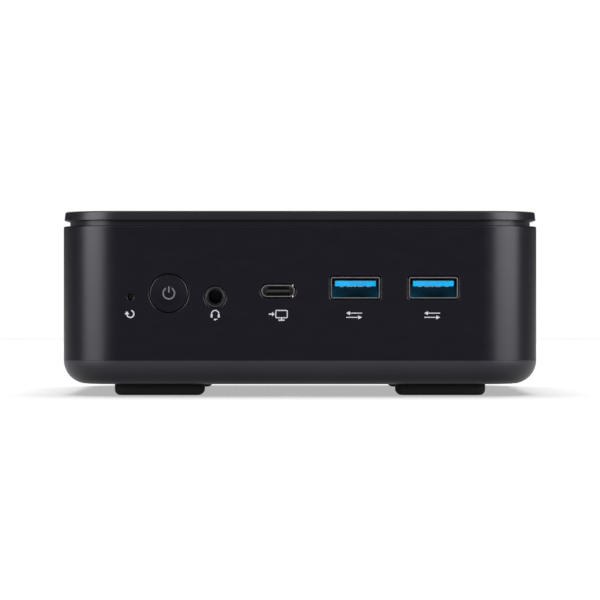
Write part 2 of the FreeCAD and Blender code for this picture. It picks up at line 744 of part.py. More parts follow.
# ---------------------------------------------------------------- casing
def make_main_housing():
    body = new_body("housing")
    outline = new_sketch(body, "top", "seam")
    draw_rounded(outline, "0", "0", "body_width", "body_depth", "corner_radius")
    pad(body, outline, "housing_height")
    dress(body, "Fillet", at_level("deck_top"), "deck_edge")
    inside = new_sketch(body, "top", "seam")
    draw_rounded(inside, "0", "0", "body_width - 2 * wall", "body_depth - 2 * wall",
                 "corner_radius - wall")
    pocket(body, inside, "housing_height - deck", back=True)

    base_posts = [(f"{side} * base_post_x", f"{end} * base_post_y") for side, end in CORNERS]
    board_posts = [(f"{side} * post_x", end) for side in (-1, 1)
                   for end in ("post_front_y", "post_rear_y")]
    for posts, radius, start in ((base_posts, "post_radius", "seam"),
                                 (board_posts, "board_post", "board_top")):
        standing = new_sketch(body, "top", start)
        for x, y in posts:
            draw_circle(standing, x, y, radius)
        pad(body, standing, f"deck_under - ({start})")
        pilot = new_sketch(body, "top", start)
        for x, y in posts:
            draw_circle(pilot, x, y, "screw_radius")
        pocket(body, pilot, "screw_bite + 1", back=True)

    openings = new_sketch(body, "front", "front")
    draw_circle(openings, "button_x", "button_height", "button_radius + button_gap")
    draw_circle(openings, "audio_x", "audio_level", "audio_nose + audio_nose_gap")
    draw_circle(openings, "reset_x", "reset_level", "reset_hole")
    draw_slot(openings, "usb_c_x", "usb_c_level", "usb_c_width + 2 * port_gap",
              "usb_c_height + 2 * port_gap")
    for x in ("usb_a_left_x", "usb_a_right_x"):
        draw_rounded(openings, x, "usb_a_level", "usb_a_width + 2 * port_gap",
                     "usb_a_height + 2 * port_gap", "usb_a_corner + port_gap")
    pocket(body, openings, "wall")
    reset_face, reset_side = number("front"), number("reset_x")
    dress(body, "Chamfer", lambda box: box.YMax < reset_face + 1e-4
          and abs(box.Center.x - reset_side) < 1e-4 and box.XLength < 3 * number("reset_hole"),
          "reset_bevel")

    rear = new_sketch(body, "front", "rear")
    draw_rounded(rear, "0", "(rear_bottom + rear_top) / 2", "2 * rear_half",
                 "rear_top - rear_bottom", "rear_corner")
    pocket(body, rear, "wall", back=True)

    clips = new_sketch(body, "top", "deck_top")
    for side, end in CORNERS:
        draw_rectangle(clips, f"{side} * (clip_x - clip_hook / 2)", f"{end} * clip_spread / 2",
                       "clip_thickness + clip_hook + 2 * clip_gap", "clip_width + 2 * clip_gap")
    pocket(body, clips, "deck")

    slot = new_sketch(body, "side", "body_width / 2")
    draw_rounded(slot, "-(vent_count - 1) * vent_pitch / 2", "deck_top - vent_drop",
                 "vent_width", "vent_height", "vent_width / 2.2")
    vent = pocket(body, slot, "body_width")
    row_of(body, vent, slot, "vent_pitch", "vent_count")
    node("main_housing", body)


def make_base_cover():
    body = new_body("base")
    outline = new_sketch(body, "top", "foot_height")
    draw_rounded(outline, "0", "0", "body_width", "body_depth", "corner_radius")
    pad(body, outline, "seam - foot_height")
    dress(body, "Fillet", at_level("foot_height"), "edge_round")
    inside = new_sketch(body, "top", "seam")
    draw_rounded(inside, "0", "0", "body_width - 2 * base_wall", "body_depth - 2 * base_wall",
                 "corner_radius - base_wall")
    pocket(body, inside, "seam - floor_top")
    dress(body, "Fillet", at_level("floor_top"), "base_inside_round")

    rim = new_sketch(body, "top", "seam")
    for inset in ("wall + rim_gap", "base_wall"):
        draw_rounded(rim, "0", "0", f"body_width - 2 * ({inset})", f"body_depth - 2 * ({inset})",
                     f"corner_radius - ({inset})")
    pad(body, rim, "base_rim")

    screws = [(f"{side} * base_post_x", f"{end} * base_post_y") for side, end in CORNERS]
    inserts = [("0", f"{end} * insert_spread / 2") for end in (-1, 1)]
    pillars = new_sketch(body, "top", "floor_top")
    for x, y in screws:
        draw_circle(pillars, x, y, "post_radius")
    pad(body, pillars, "seam - floor_top")
    bosses = new_sketch(body, "top", "floor_top")
    for x, y in inserts:
        draw_circle(bosses, x, y, "insert_boss")
    pad(body, bosses, "foot_height + insert_length + 1 - floor_top")

    for places, radius, depth in ((screws, "counterbore", "counterbore_depth"),
                                  (screws, "screw_clearance", "seam - foot_height"),
                                  (inserts, "insert_radius", "insert_length")):
        holes = new_sketch(body, "top", "foot_height")
        for x, y in places:
            draw_circle(holes, x, y, radius)
        pocket(body, holes, depth, back=True)

    seats = new_sketch(body, "top", "foot_height")
    for side, end in CORNERS:
        draw_rounded(seats, f"{side} * foot_x", f"{end} * foot_y", "foot_width + 2 * foot_gap",
                     "foot_depth + 2 * foot_gap", "foot_corner + foot_gap")
    pocket(body, seats, "foot_recess", back=True)

    slot = new_sketch(body, "top", "foot_height")
    draw_rounded(slot, "-(floor_vent_count - 1) * floor_vent_pitch / 2", "0",
                 "floor_vent_width", "floor_vent_length", "floor_vent_width / 2.2")
    vent = pocket(body, slot, "base_floor", back=True)
    row_of(body, vent, slot, "floor_vent_pitch", "floor_vent_count")
    node("base_cover", body)


def make_top_cover():
    body = new_body("lid")
    outline = new_sketch(body, "top", "lid_under")
    draw_rounded(outline, "0", "0", "body_width - 2 * lid_inset", "body_depth - 2 * lid_inset",
                 "corner_radius - lid_inset")
    pad(body, outline, "lid_thickness", draft="-lid_draft")
    dress(body, "Fillet", at_level("lid_top"), "lid_edge")
    neck = new_sketch(body, "top", "lid_under")
    draw_rounded(neck, "0", "0", "body_width - 2 * neck_inset", "body_depth - 2 * neck_inset",
                 "corner_radius - neck_inset")
    pad(body, neck, "neck_height", back=True)
    hollow = new_sketch(body, "top", "deck_top")
    inset = "neck_inset + lid_wall"
    draw_rounded(hollow, "0", "0", f"body_width - 2 * ({inset})", f"body_depth - 2 * ({inset})",
                 f"corner_radius - ({inset})")
    pocket(body, hollow, "neck_height + lid_thickness - lid_shell", back=True)
    for start, length, hook in (("deck_top", "deck + 2 * clip_gap + clip_hook", "0"),
                                ("deck_under - clip_gap", "clip_gap + clip_hook", "clip_hook")):
        clips = new_sketch(body, "top", start)
        for side, end in CORNERS:
            draw_rectangle(clips, f"{side} * (clip_x - {hook} / 2)", f"{end} * clip_spread / 2",
                           f"clip_thickness + {hook}", "clip_width")
        pad(body, clips, length, back=True)
    node("top_cover", body)


def make_feet():
    names = {-1: ("front", {-1: "left", 1: "right"}), 1: ("rear", {-1: "left", 1: "right"})}
    for side, end in CORNERS:
        body = new_body("foot")
        outline = new_sketch(body, "top", "0")
        draw_rounded(outline, f"{side} * foot_x", f"{end} * foot_y", "foot_width", "foot_depth",
                     "foot_corner")
        pad(body, outline, "foot_height + foot_recess")
        dress(body, "Fillet", at_level("0"), "foot_edge")
        row_name, side_names = names[end]
        node(f"foot_{row_name}_{side_names[side]}", body)


def make_base_fasteners():
    head_under = "foot_height + counterbore_depth - screw_head_height"
    screws = [screw(f"{side} * base_post_x", f"{end} * base_post_y", head_under,
                    "screw_head_height", "screw_head", "screw_radius", "seam + screw_bite")
              for side, end in CORNERS]
    node("base_screws", group(*screws))
    inserts = []
    for end in (-1, 1):
        middle = ("0", f"{end} * insert_spread / 2")
        span = ("foot_height", "foot_height + insert_length")
        inserts.append(cut(rod("z", middle, "insert_radius", span),
                           rod("z", middle, "insert_thread", span)))
    node("mount_inserts", group(*inserts))


def make_rear_plate():
    body = new_body("plate")
    outline = new_sketch(body, "front", "plate_back")
    draw_rounded(outline, "0", "(rear_bottom + rear_top) / 2", "2 * (rear_half + plate_overlap)",
                 "rear_top - rear_bottom + 2 * plate_overlap", "rear_corner + plate_overlap")
    pad(body, outline, "plate_thickness")
    ports = (("power_x", "power_level", "power_width", "power_height"),
             ("hdmi_x", "hdmi_level", "hdmi_width", "hdmi_height"),
             ("display_x", "display_level", "display_width", "display_height"),
             ("ethernet_x", "board_top + ethernet_height / 2", "ethernet_width",
              "ethernet_height"),
             ("stack_x", "stack_level", "stack_width", "stack_height"))
    openings = new_sketch(body, "front", "plate_back")
    for x, z, width, height in ports:
        draw_rounded(openings, x, z, f"{width} + 2 * port_gap", f"{height} + 2 * port_gap", "0.5")
    draw_rounded(openings, "lock_x", "lock_level", "lock_width", "lock_height", "1")
    pocket(body, openings, "plate_thickness", back=True)
    slot = new_sketch(body, "front", "plate_back")
    draw_rounded(slot, "cooler_x - (grille_count - 1) * grille_pitch / 2",
                 "(fins_under + rear_top) / 2", "grille_width",
                 "rear_top - fins_under - 2 * grille_margin", "grille_width / 2.2")
    vent = pocket(body, slot, "plate_thickness", back=True)
    row_of(body, vent, slot, "grille_pitch", "grille_count")
    node("rear_io_plate", body)


# ---------------------------------------------------------------- buttons and switches
def make_power_button():
    middle = ("button_x", "button_height")
    cap = fuse(rod("y", middle, "button_radius", ("front", "flange_back")),
               rod("y", middle, "button_flange", ("flange_front", "flange_back")),
               rod("y", middle, "stem_radius", ("flange_back", "stem_back")))
    ball = doc.addObject("Part::Sphere", "dish")
    ball_radius = "(button_radius ^ 2 + button_dish ^ 2) / (2 * button_dish)"
    bind(ball, "Radius", ball_radius)
    for axis, text in zip("xyz", ("button_x", f"front + button_dish - ({ball_radius})",
                                  "button_height")):
        bind(ball, f"Placement.Base.{axis}", text)

    inlay = ("front + button_dish - 0.05", "front + button_dish - 0.05 + symbol_inlay")
    ring = cut(rod("y", middle, "symbol_radius", inlay),
               rod("y", middle, "symbol_radius - symbol_line", inlay),
               block(("button_x - 2 * symbol_line", "button_x + 2 * symbol_line"), inlay,
                     ("button_height", "button_height + 2 * symbol_radius")))
    bar = block(("button_x - symbol_line / 2", "button_x + symbol_line / 2"), inlay,
                ("button_height + 0.1 * symbol_radius", "button_height + 1.15 * symbol_radius"))
    symbol = group(ring, bar)
    node("power_button", cut(cap, ball, ring, bar))
    node("power_symbol", symbol)


def make_switches():
    middle = ("button_x", "button_height")
    node("power_switch_plunger", rod("y", middle, "plunger_radius", ("stem_back", "plunger_back")))
    case = block(("button_x - switch_width / 2", "button_x + switch_width / 2"),
                 ("switch_front", "switch_front + switch_depth"),
                 ("board_top", "board_top + switch_height"))
    bore = rod("y", middle, "plunger_radius + plunger_gap",
               ("switch_front", "plunger_back + button_travel + plunger_end_gap"))
    node("power_switch", cut(case, bore))

    middle = ("reset_x", "reset_level")
    plunger = ("reset_front - reset_out", "reset_front + reset_in")
    node("reset_plunger", rod("y", middle, "reset_plunger", plunger))
    case = block(("reset_x - reset_width / 2", "reset_x + reset_width / 2"),
                 ("reset_front", "reset_front + reset_depth"),
                 ("reset_level - reset_height / 2", "reset_level + reset_height / 2"))
    bore = rod("y", middle, "reset_plunger + plunger_gap",
               ("reset_front", "reset_front + reset_in + reset_travel + plunger_end_gap"))
    node("reset_switch", cut(case, bore))


# ---------------------------------------------------------------- front ports
def port_shell(x, z, width, height, corner, length):
    """A folded sheet shell with a closed back that opens towards the front."""
    body = new_body("shell")
    for inset in ("0", "sheet"):
        outline = new_sketch(body, "front", "mouth")
        sizes = (f"{width} - 2 * {inset}", f"{height} - 2 * {inset}")
        if corner == "slot":
            draw_slot(outline, x, z, *sizes)
        else:
            draw_rounded(outline, x, z, *sizes, f"{corner} - {inset} / 2")
        if inset == "0":
            pad(body, outline, length, back=True)
        else:
            pocket(body, outline, f"{length} - sheet")
    return body


def contact_row(count, x, pitch, width, y, z):
    """Contact strips side by side along X."""
    strips = []
    for index in range(count):
        middle = f"{x} + {index - (count - 1) / 2} * ({pitch})"
        strips.append(block((f"{middle} - ({width}) / 2", f"{middle} + ({width}) / 2"), y, z))
    return strips


def make_usb_a(side):
    """One front port: shell, blue insulator with its tongue. Returns its contact strips."""
    x = f"usb_a_{side}_x"
    shell = port_shell(x, "usb_a_level", "usb_a_width", "usb_a_height", "usb_a_corner",
                       "usb_a_length")
    node(f"usb_a_{side}_shell", shell)
    back = "mouth + usb_a_length - sheet"
    top = "usb_a_level + usb_a_height / 2 - sheet - usb_a_tongue_drop"
    under = f"{top} - usb_a_tongue"
    tongue = block((f"{x} - usb_a_tongue_width / 2", f"{x} + usb_a_tongue_width / 2"),
                   ("mouth + tongue_setback", back), (under, top))
    plug = prism("front", back, "plug_block", draw_rounded, x, "usb_a_level",
                 "usb_a_width - 2 * sheet", "usb_a_height - 2 * sheet",
                 "usb_a_corner - sheet / 2")
    node(f"usb_a_{side}_tongue", fuse(tongue, plug))
    strip = (f"{under} - contact_thickness", under)
    first = "mouth + contact_front"
    second = "mouth + fast_contact_front"
    return (contact_row(4, x, "contact_pitch", "contact_width",
                        (first, f"{first} + contact_length"), strip)
            + contact_row(5, x, "fast_contact_pitch", "fast_contact_width",
                          (second, f"{second} + fast_contact_length"), strip))


def make_front_ports():
    middle = ("audio_x", "audio_level")
    barrel = block(("audio_x - audio_width / 2", "audio_x + audio_width / 2"),
                   ("inner_front", "inner_front + audio_depth"),
                   ("audio_level - audio_height / 2", "audio_level + audio_height / 2"))
    nose = rod("y", middle, "audio_nose", ("mouth", "inner_front"))
    seat = rod("y", middle, "audio_ring", ("mouth", "mouth + audio_ring_depth"))
    bore = rod("y", middle, "audio_bore", ("mouth", "inner_front + audio_depth - 1"))
    node("audio_jack", cut(fuse(barrel, nose), seat, bore))
    node("audio_ring", cut(rod("y", middle, "audio_ring", ("mouth", "mouth + audio_ring_depth")),
                           rod("y", middle, "audio_bore", ("mouth", "mouth + audio_ring_depth"))))

    shell = port_shell("usb_c_x", "usb_c_level", "usb_c_width", "usb_c_height", "slot",
                       "usb_c_length")
    legs = [middle_block(f"usb_c_x + {side} * usb_c_leg_spread / 2",
                         "(board_front + mouth + usb_c_length) / 2", "usb_c_leg",
                         "mouth + usb_c_length - board_front",
                         ("board_top", "usb_c_level - usb_c_height / 2 + sheet / 2"))
            for side in (-1, 1)]
    node("usb_c_shell", fuse(shell, *legs))
    back = "mouth + usb_c_length - sheet"
    tongue = block(("usb_c_x - usb_c_tongue_width / 2", "usb_c_x + usb_c_tongue_width / 2"),
                   ("mouth + usb_c_tongue_setback", back),
                   ("usb_c_level - usb_c_tongue / 2", "usb_c_level + usb_c_tongue / 2"))
    plug = block(("usb_c_x - usb_c_plug_width / 2", "usb_c_x + usb_c_plug_width / 2"),
                 (f"{back} - plug_block", back),
                 ("usb_c_level - usb_c_height / 2 + sheet",
                  "usb_c_level + usb_c_height / 2 - sheet"))
    node("usb_c_tongue", fuse(tongue, plug))
    strips = [strip for side in ("left", "right") for strip in make_usb_a(side)]
    node("usb_a_contacts", group(*strips))


# ---------------------------------------------------------------- rear ports
def make_video_port(label, x, level, width, height, slant, corners):
    """A shell whose lower corners on the listed sides are slanted. Returns its tongue."""
    body = new_body(label)
    for inset in ("0", "sheet"):
        outline = new_sketch(body, "front", "rear_mouth")
        half, tall = f"(({width}) / 2 - {inset})", f"(({height}) / 2 - {inset})"
        points = []
        for side in (-1, 1):
            low = [(f"{x} + {side} * {half}", f"{level} - {tall}")]
            if side in corners:
                low = [(f"{x} + {side} * {half}", f"{level} - {tall} + {slant}"),
                       (f"{x} + {side} * ({half} - {slant})", f"{level} - {tall}")]
            points += low if side == -1 else low[::-1]
        points += [(f"{x} + {half}", f"{level} + {tall}"), (f"{x} - {half}", f"{level} + {tall}")]
        draw_polygon(outline, points)
        if inset == "0":
            pad(body, outline, "video_length")
        else:
            pocket(body, outline, "video_length - sheet", back=True)
    node(f"{label}_shell", body)
    back = "rear_mouth - video_length + sheet"
    tongue = middle_block(x, f"({back} + rear_mouth - video_tongue_setback) / 2",
                          f"{width} - 2 * video_tongue_side",
                          "video_length - sheet - video_tongue_setback",
                          (f"{level} - video_tongue / 2", f"{level} + video_tongue / 2"))
    plug = middle_block(x, f"{back} + plug_block / 2", f"{width} - 2 * video_plug_side",
                        "plug_block", (f"{level} - {height} / 2 + sheet",
                                       f"{level} + {height} / 2 - sheet"))
    return fuse(tongue, plug)


def make_rear_ports():
    case = block(("power_x - power_width / 2", "power_x + power_width / 2"),
                 ("rear_mouth - power_depth", "rear_mouth"),
                 ("board_top", "board_top + power_height"))
    middle = ("power_x", "power_level")
    bore = rod("y", middle, "power_bore", ("rear_mouth - power_bore_depth", "rear_mouth"))
    node("dc_jack", cut(case, bore))
    node("dc_pin", rod("y", middle, "power_pin", ("rear_mouth - power_bore_depth",
                                                  "rear_mouth - power_pin_setback")))
    tongues = [make_video_port("hdmi", "hdmi_x", "hdmi_level", "hdmi_width", "hdmi_height",
                               "hdmi_cut", (-1, 1)),
               make_video_port("display", "display_x", "display_level", "display_width",
                               "display_height", "display_cut", (1,))]
    node("video_tongues", group(*tongues))

    body = new_body("ethernet")
    outline = new_sketch(body, "front", "rear_mouth")
    draw_rectangle(outline, "ethernet_x", "board_top + ethernet_height / 2", "ethernet_width",
                   "ethernet_height")
    pad(body, outline, "ethernet_length")
    mouth = new_sketch(body, "front", "rear_mouth")
    floor = "board_top + ethernet_mouth_rise"
    key_floor = f"{floor} - ethernet_key_drop"
    ceiling = f"{floor} + ethernet_mouth_height"
    half, key = "ethernet_mouth_width / 2", "ethernet_key_width / 2"
    draw_polygon(mouth, [(f"ethernet_x - {half}", floor), (f"ethernet_x - {key}", floor),
                         (f"ethernet_x - {key}", key_floor), (f"ethernet_x + {key}", key_floor),
                         (f"ethernet_x + {key}", floor), (f"ethernet_x + {half}", floor),
                         (f"ethernet_x + {half}", ceiling), (f"ethernet_x - {half}", ceiling)])
    pocket(body, mouth, "ethernet_mouth_depth", back=True)
    node("ethernet_shell", body)
    wires = contact_row(SIZES["wire_count"][0], "ethernet_x", "wire_pitch", "wire_width",
                        ("rear_mouth - ethernet_mouth_depth", "rear_mouth - wire_setback"),
                        (f"{ceiling} - wire_height", ceiling))
    node("ethernet_contacts", group(*wires))

    body = new_body("stack")
    outline = new_sketch(body, "front", "rear_mouth")
    draw_rounded(outline, "stack_x", "stack_level", "stack_width", "stack_height",
                 "usb_a_corner")
    pad(body, outline, "stack_length")
    mouths = new_sketch(body, "front", "rear_mouth")
    levels = [f"stack_level + {side} * (stack_height / 4 + stack_divider / 2)"
              for side in (-1, 1)]
    for level in levels:
        draw_rounded(mouths, "stack_x", level, "usb_a_width - 2 * sheet",
                     "usb_a_height - 2 * sheet", "usb_a_corner")
    pocket(body, mouths, "stack_length - sheet", back=True)
    node("usb_stack_shell", body)
    back = "rear_mouth - stack_length + sheet"
    tongues = []
    for level in levels:
        top = f"{level} + usb_a_height / 2 - sheet - usb_a_tongue_drop"
        tongues.append(block(("stack_x - usb_a_tongue_width / 2",
                              "stack_x + usb_a_tongue_width / 2"),
                             (back, "rear_mouth - tongue_setback"),
                             (f"{top} - usb_a_tongue", top)))
    node("usb_stack_tongues", group(*tongues))


# ---------------------------------------------------------------- main board
def make_mainboard():
    body = new_body("board")
    outline = new_sketch(body, "top", "board_under")
    draw_rounded(outline, "0", "(board_front + board_rear) / 2", "board_width",
                 "board_rear - board_front", "board_corner")
    pad(body, outline, "board_thickness")
    holes = new_sketch(body, "top", "board_top")
    for side in (-1, 1):
        for y in ("post_front_y", "post_rear_y"):
            draw_circle(holes, f"{side} * post_x", y, "screw_clearance")
    for side, end in CORNERS:
        draw_circle(holes, *cooler_screw_place(side, end), "cooler_screw_hole")
    pocket(body, holes, "board_thickness")
    notches = new_sketch(body, "top", "board_top")
    for x, width, back in (("reset_x", "reset_width", "reset_front + reset_depth"),
                           ("audio_x", "audio_width", "inner_front + audio_depth")):
        half = f"({width} / 2 + notch_gap)"
        draw_polygon(notches, [(f"{x} - {half}", "board_front - 1"),
                               (f"{x} + {half}", "board_front - 1"),
                               (f"{x} + {half}", back), (f"{x} - {half}", back)])
    pocket(body, notches, "board_thickness")
    node("mainboard", body)

    screws = [screw(f"{side} * post_x", y, "board_under - screw_head_height", "screw_head_height",
                    "screw_head", "screw_radius", "board_top + screw_bite")
              for side in (-1, 1) for y in ("post_front_y", "post_rear_y")]
    node("board_screws", group(*screws))


def make_board_parts():
    package = middle_block("cooler_x", "cold_y", "processor_width", "processor_length",
                           ("board_top", "board_top + processor_height"))
    die = middle_block("cooler_x", "cold_y", "die_width", "die_length",
                       ("board_top + processor_height", "processor_top"))
    node("cpu_package", fuse(package, die))

    chokes = [middle_block(f"choke_x - {index} * choke_pitch", "choke_y", "choke", "choke",
                           ("board_top", "board_top + choke_height"))
              for index in range(SIZES["choke_count"][0])]
    node("power_chokes", group(*chokes))

    middle = ("cell_x", "cell_y")
    seat = "board_top + holder_floor"
    side = "2 * (cell_radius + holder_wall)"
    holder = cut(middle_block(*middle, side, side, ("board_top", f"{seat} + holder_rim")),
                 rod("z", middle, "cell_radius + cell_clearance", (seat, f"{seat} + holder_rim")))
    node("coin_holder", holder)
    node("coin_cell", rod("z", middle, "cell_radius", (seat, f"{seat} + cell_height")))


# ---------------------------------------------------------------- cooler
def cooler_screw_place(side, end):
    return (f"cooler_x + {side} * (plate_width / 2 - cooler_screw_inset)",
            f"cold_y + {end} * (plate_length / 2 - cooler_screw_inset)")


def make_heat_sink():
    plate = middle_block("cooler_x", "cold_y", "plate_width", "plate_length",
                         ("processor_top", "cold_top"))
    places = [cooler_screw_place(side, end) for side, end in CORNERS]
    holes = [rod("z", middle, "cooler_screw_hole", ("processor_top", "cold_top"))
             for middle in places]
    node("cold_plate", cut(plate, *holes))
    heads = [screw(*middle, "cold_top + cooler_screw_head_height", "cooler_screw_head_height",
                   "cooler_screw_head", "cooler_screw_shank", "board_under - cooler_screw_out",
                   up=False) for middle in places]
    node("cooler_screws", group(*heads))

    pipes = [prism("front", "pipe_back", "pipe_back - fins_front", draw_slot,
                   f"cooler_x + {side} * pipe_spread / 2", "cold_top + pipe_height / 2",
                   "pipe_width", "pipe_height") for side in (-1, 1)]
    node("heat_pipes", group(*pipes))

    body = new_body("fins")
    outline = new_sketch(body, "front", "fins_back")
    draw_rectangle(outline, "cooler_x", "(fins_under + cooler_top) / 2", "fins_width",
                   "cooler_top - fins_under")
    pad(body, outline, "fins_length")
    gap = new_sketch(body, "front", "fins_back")
    draw_rectangle(gap, "cooler_x - (fin_gaps - 1) * fin_pitch / 2",
                   "(fins_under + cooler_top) / 2", "fin_pitch - fin",
                   "cooler_top - fins_under - 2 * fin_base")
    channel = pocket(body, gap, "fins_length", back=True)
    row_of(body, channel, gap, "fin_pitch", "fin_gaps")
    node("fin_stack", body)


def make_blower():
    body = new_body("blower")
    outline = new_sketch(body, "top", "blower_under")
    draw_rounded(outline, "cooler_x", "blower_y", "blower_width", "blower_length",
                 "blower_corner")
    pad(body, outline, "blower_lid_under - blower_under")
    inside = new_sketch(body, "top", "blower_lid_under")
    draw_rounded(inside, "cooler_x", "blower_y", "blower_width - 2 * blower_skin",
                 "blower_length - 2 * blower_skin", "blower_corner - blower_skin")
    pocket(body, inside, "blower_lid_under - blower_inside")
    outlet = new_sketch(body, "top", "blower_lid_under")
    draw_rectangle(outlet, "cooler_x", "blower_back", "fins_width", "4 * blower_skin")
    pocket(body, outlet, "blower_lid_under - blower_inside")
    inlet = new_sketch(body, "top", "blower_inside")
    for turn in range(4):
        angle = math.radians(45 + 90 * turn)
        reach = "(stator_radius + inlet_radius) / 2"
        draw_circle(inlet, f"cooler_x + {math.cos(angle):.6f} * {reach}",
                    f"impeller_y + {math.sin(angle):.6f} * {reach}",
                    "(inlet_radius - stator_radius) / 2.6")
    pocket(body, inlet, "blower_skin")
    legs = new_sketch(body, "top", "board_top")
    for side, end in CORNERS:
        draw_circle(legs, f"cooler_x + {side} * (blower_width / 2 - blower_leg_inset)",
                    f"blower_y + {end} * (blower_length / 2 - blower_leg_inset)", "blower_leg")
    pad(body, legs, "blower_rise")
    node("blower_housing", body)

    body = new_body("blower_lid")
    outline = new_sketch(body, "top", "blower_lid_under")
    draw_rounded(outline, "cooler_x", "blower_y", "blower_width", "blower_length",
                 "blower_corner")
    draw_circle(outline, "cooler_x", "impeller_y", "inlet_radius")
    pad(body, outline, "blower_lid")
    node("blower_cover", body)

    centre = ("cooler_x", "impeller_y")
    stator = cut(rod("z", centre, "stator_radius", ("blower_inside",
                                                    "blower_inside + stator_height")),
                 rod("z", centre, "stator_bore", ("blower_inside + stator_floor",
                                                  "blower_inside + stator_height")))
    shaft = rod("z", centre, "shaft_radius", ("blower_inside", "hub_ceiling"))
    node("blower_motor", fuse(stator, shaft))

    body = new_body("impeller")
    hub = new_sketch(body, "top", "impeller_under")
    draw_circle(hub, "0", "0", "hub_radius")
    pad(body, hub, "impeller_top - impeller_under")
    cup = new_sketch(body, "top", "impeller_under")
    draw_circle(cup, "0", "0", "hub_radius - hub_skin")
    pocket(body, cup, "hub_ceiling - impeller_under", back=True)
    boss = new_sketch(body, "top", "blower_inside + boss_rise")
    draw_circle(boss, "0", "0", "shaft_boss")
    pad(body, boss, "impeller_top - blower_inside - boss_rise")
    bore = new_sketch(body, "top", "blower_inside + boss_rise")
    draw_circle(bore, "0", "0", "shaft_radius + shaft_gap")
    pocket(body, bore, "hub_ceiling + shaft_gap - blower_inside - boss_rise", back=True)
    blade = new_sketch(body, "top", "impeller_under")
    root, middle = "hub_radius - blade_root", "(hub_radius + impeller_radius) / 2"
    tip = "sqrt(impeller_radius ^ 2 - (blade_sweep + blade / 2) ^ 2)"
    draw_polygon(blade, [(root, "-blade / 2"), (middle, "blade_lean - blade / 2"),
                         (tip, "blade_sweep - blade / 2"), (tip, "blade_sweep + blade / 2"),
                         (middle, "blade_lean + blade / 2"), (root, "blade / 2")])
    vane = pad(body, blade, "impeller_top - impeller_under")
    ring = body.newObject("PartDesign::PolarPattern", "blades")
    ring.Originals = [vane]
    ring.Axis = (blade, ["N_Axis"])
    bind(ring, "Occurrences", "blade_count")
    body.Tip = ring
    bind(body, "Placement.Base.x", "cooler_x")
    bind(body, "Placement.Base.y", "impeller_y")
    node("blower_impeller", body)


# ---------------------------------------------------------------- memory, cards, drive
def make_memory():
    sockets, modules, latches = [], [], []
    for side in (-1, 1):
        near = f"memory_y + {side} * socket_gap"
        far = f"{near} + {side} * socket_length"
        edge = f"{far} - {side} * memory_bite"
        tip = f"{edge} + {side} * memory_length"
        across = ("memory_x - memory_width / 2", "memory_x + memory_width / 2")
        thick = ("memory_level - memory_board", "memory_level")

        def ordered(first, second):
            return (first, second) if side > 0 else (second, first)

        slot = block(across, ordered(edge, far), thick)
        case = block(("memory_x - socket_width / 2", "memory_x + socket_width / 2"),
                     ordered(near, far), ("board_under - socket_height", "board_under"))
        sockets.append(cut(case, slot))
        card = block(across, ordered(edge, tip), thick)
        chips = [middle_block(f"memory_x + {step} * chip_pitch",
                              f"{edge} + {side} * chip_setback", "chip_width", "chip_length",
                              ("memory_level - memory_board - memory_chip",
                               "memory_level - memory_board")) for step in (-1.5, -0.5, 0.5, 1.5)]
        modules.append(fuse(card, *chips))
        for end in (-1, 1):
            inner = f"memory_x + {end} * (memory_width / 2 + latch_gap)"
            outer = f"{inner} + {end} * latch"
            span = (inner, outer) if end > 0 else (outer, inner)
            latches.append(block(span, ordered(far, f"{far} + {side} * latch_length"),
                                 ("memory_level - memory_board",
                                  "memory_level - memory_board + latch_height")))
    node("sodimm_sockets", group(*sockets))
    node("memory_modules", group(*modules))
    node("sodimm_latches", group(*latches))


def make_cards():
    thick = ("card_level - card_board", "card_level")
    case_high = ("board_under - card_socket_height", "board_under")
    half = "card_width / 2"

    across = ("storage_start_x", "storage_start_x + storage_length")
    deep = (f"storage_y - {half}", f"storage_y + {half}")
    card = block(across, deep, thick)
    chips = [middle_block(f"storage_start_x + {index} * card_chip_pitch", "storage_y",
                          "card_chip_width", "card_chip_length",
                          ("card_level - card_board - card_chip", "card_level - card_board"))
             for index in (1, 2, 3)]
    storage_socket = block(("storage_start_x + card_bite - card_socket_length",
                            "storage_start_x + card_bite"),
                           (f"storage_y - {half} - card_socket_side",
                            f"storage_y + {half} + card_socket_side"), case_high)
    storage_hole = rod("z", (across[1], "storage_y"), "card_screw_head", thick)
    node("ssd_module", cut(fuse(card, *chips), storage_hole))

    deep = ("radio_start_y", "radio_start_y + radio_length")
    across = (f"radio_x - {half}", f"radio_x + {half}")
    radio = block(across, deep, thick)
    shield = middle_block("radio_x", "radio_start_y + radio_shield_place", "radio_shield_width",
                          "radio_shield_length", ("card_level - card_board - card_chip",
                                                  "card_level - card_board"))
    radio_socket = block((f"radio_x - {half} - card_socket_side",
                          f"radio_x + {half} + card_socket_side"),
                         ("radio_start_y + card_bite - card_socket_length",
                          "radio_start_y + card_bite"), case_high)
    radio_hole = rod("z", ("radio_x", deep[1]), "card_screw_head", thick)
    node("wifi_card", cut(fuse(radio, shield), radio_hole))

    sockets = [cut(storage_socket, block(("storage_start_x", "storage_start_x + card_bite"),
                                         (f"storage_y - {half}", f"storage_y + {half}"), thick)),
               cut(radio_socket, block((f"radio_x - {half}", f"radio_x + {half}"),
                                       ("radio_start_y", "radio_start_y + card_bite"), thick))]
    node("m2_sockets", group(*sockets))
    ends = (("storage_start_x + storage_length", "storage_y"),
            ("radio_x", "radio_start_y + radio_length"))
    screws = [screw(*middle, "card_level - card_board - card_screw_height", "card_screw_height",
                    "card_screw_head", "screw_radius", "board_under") for middle in ends]
    node("m2_screws", group(*screws))


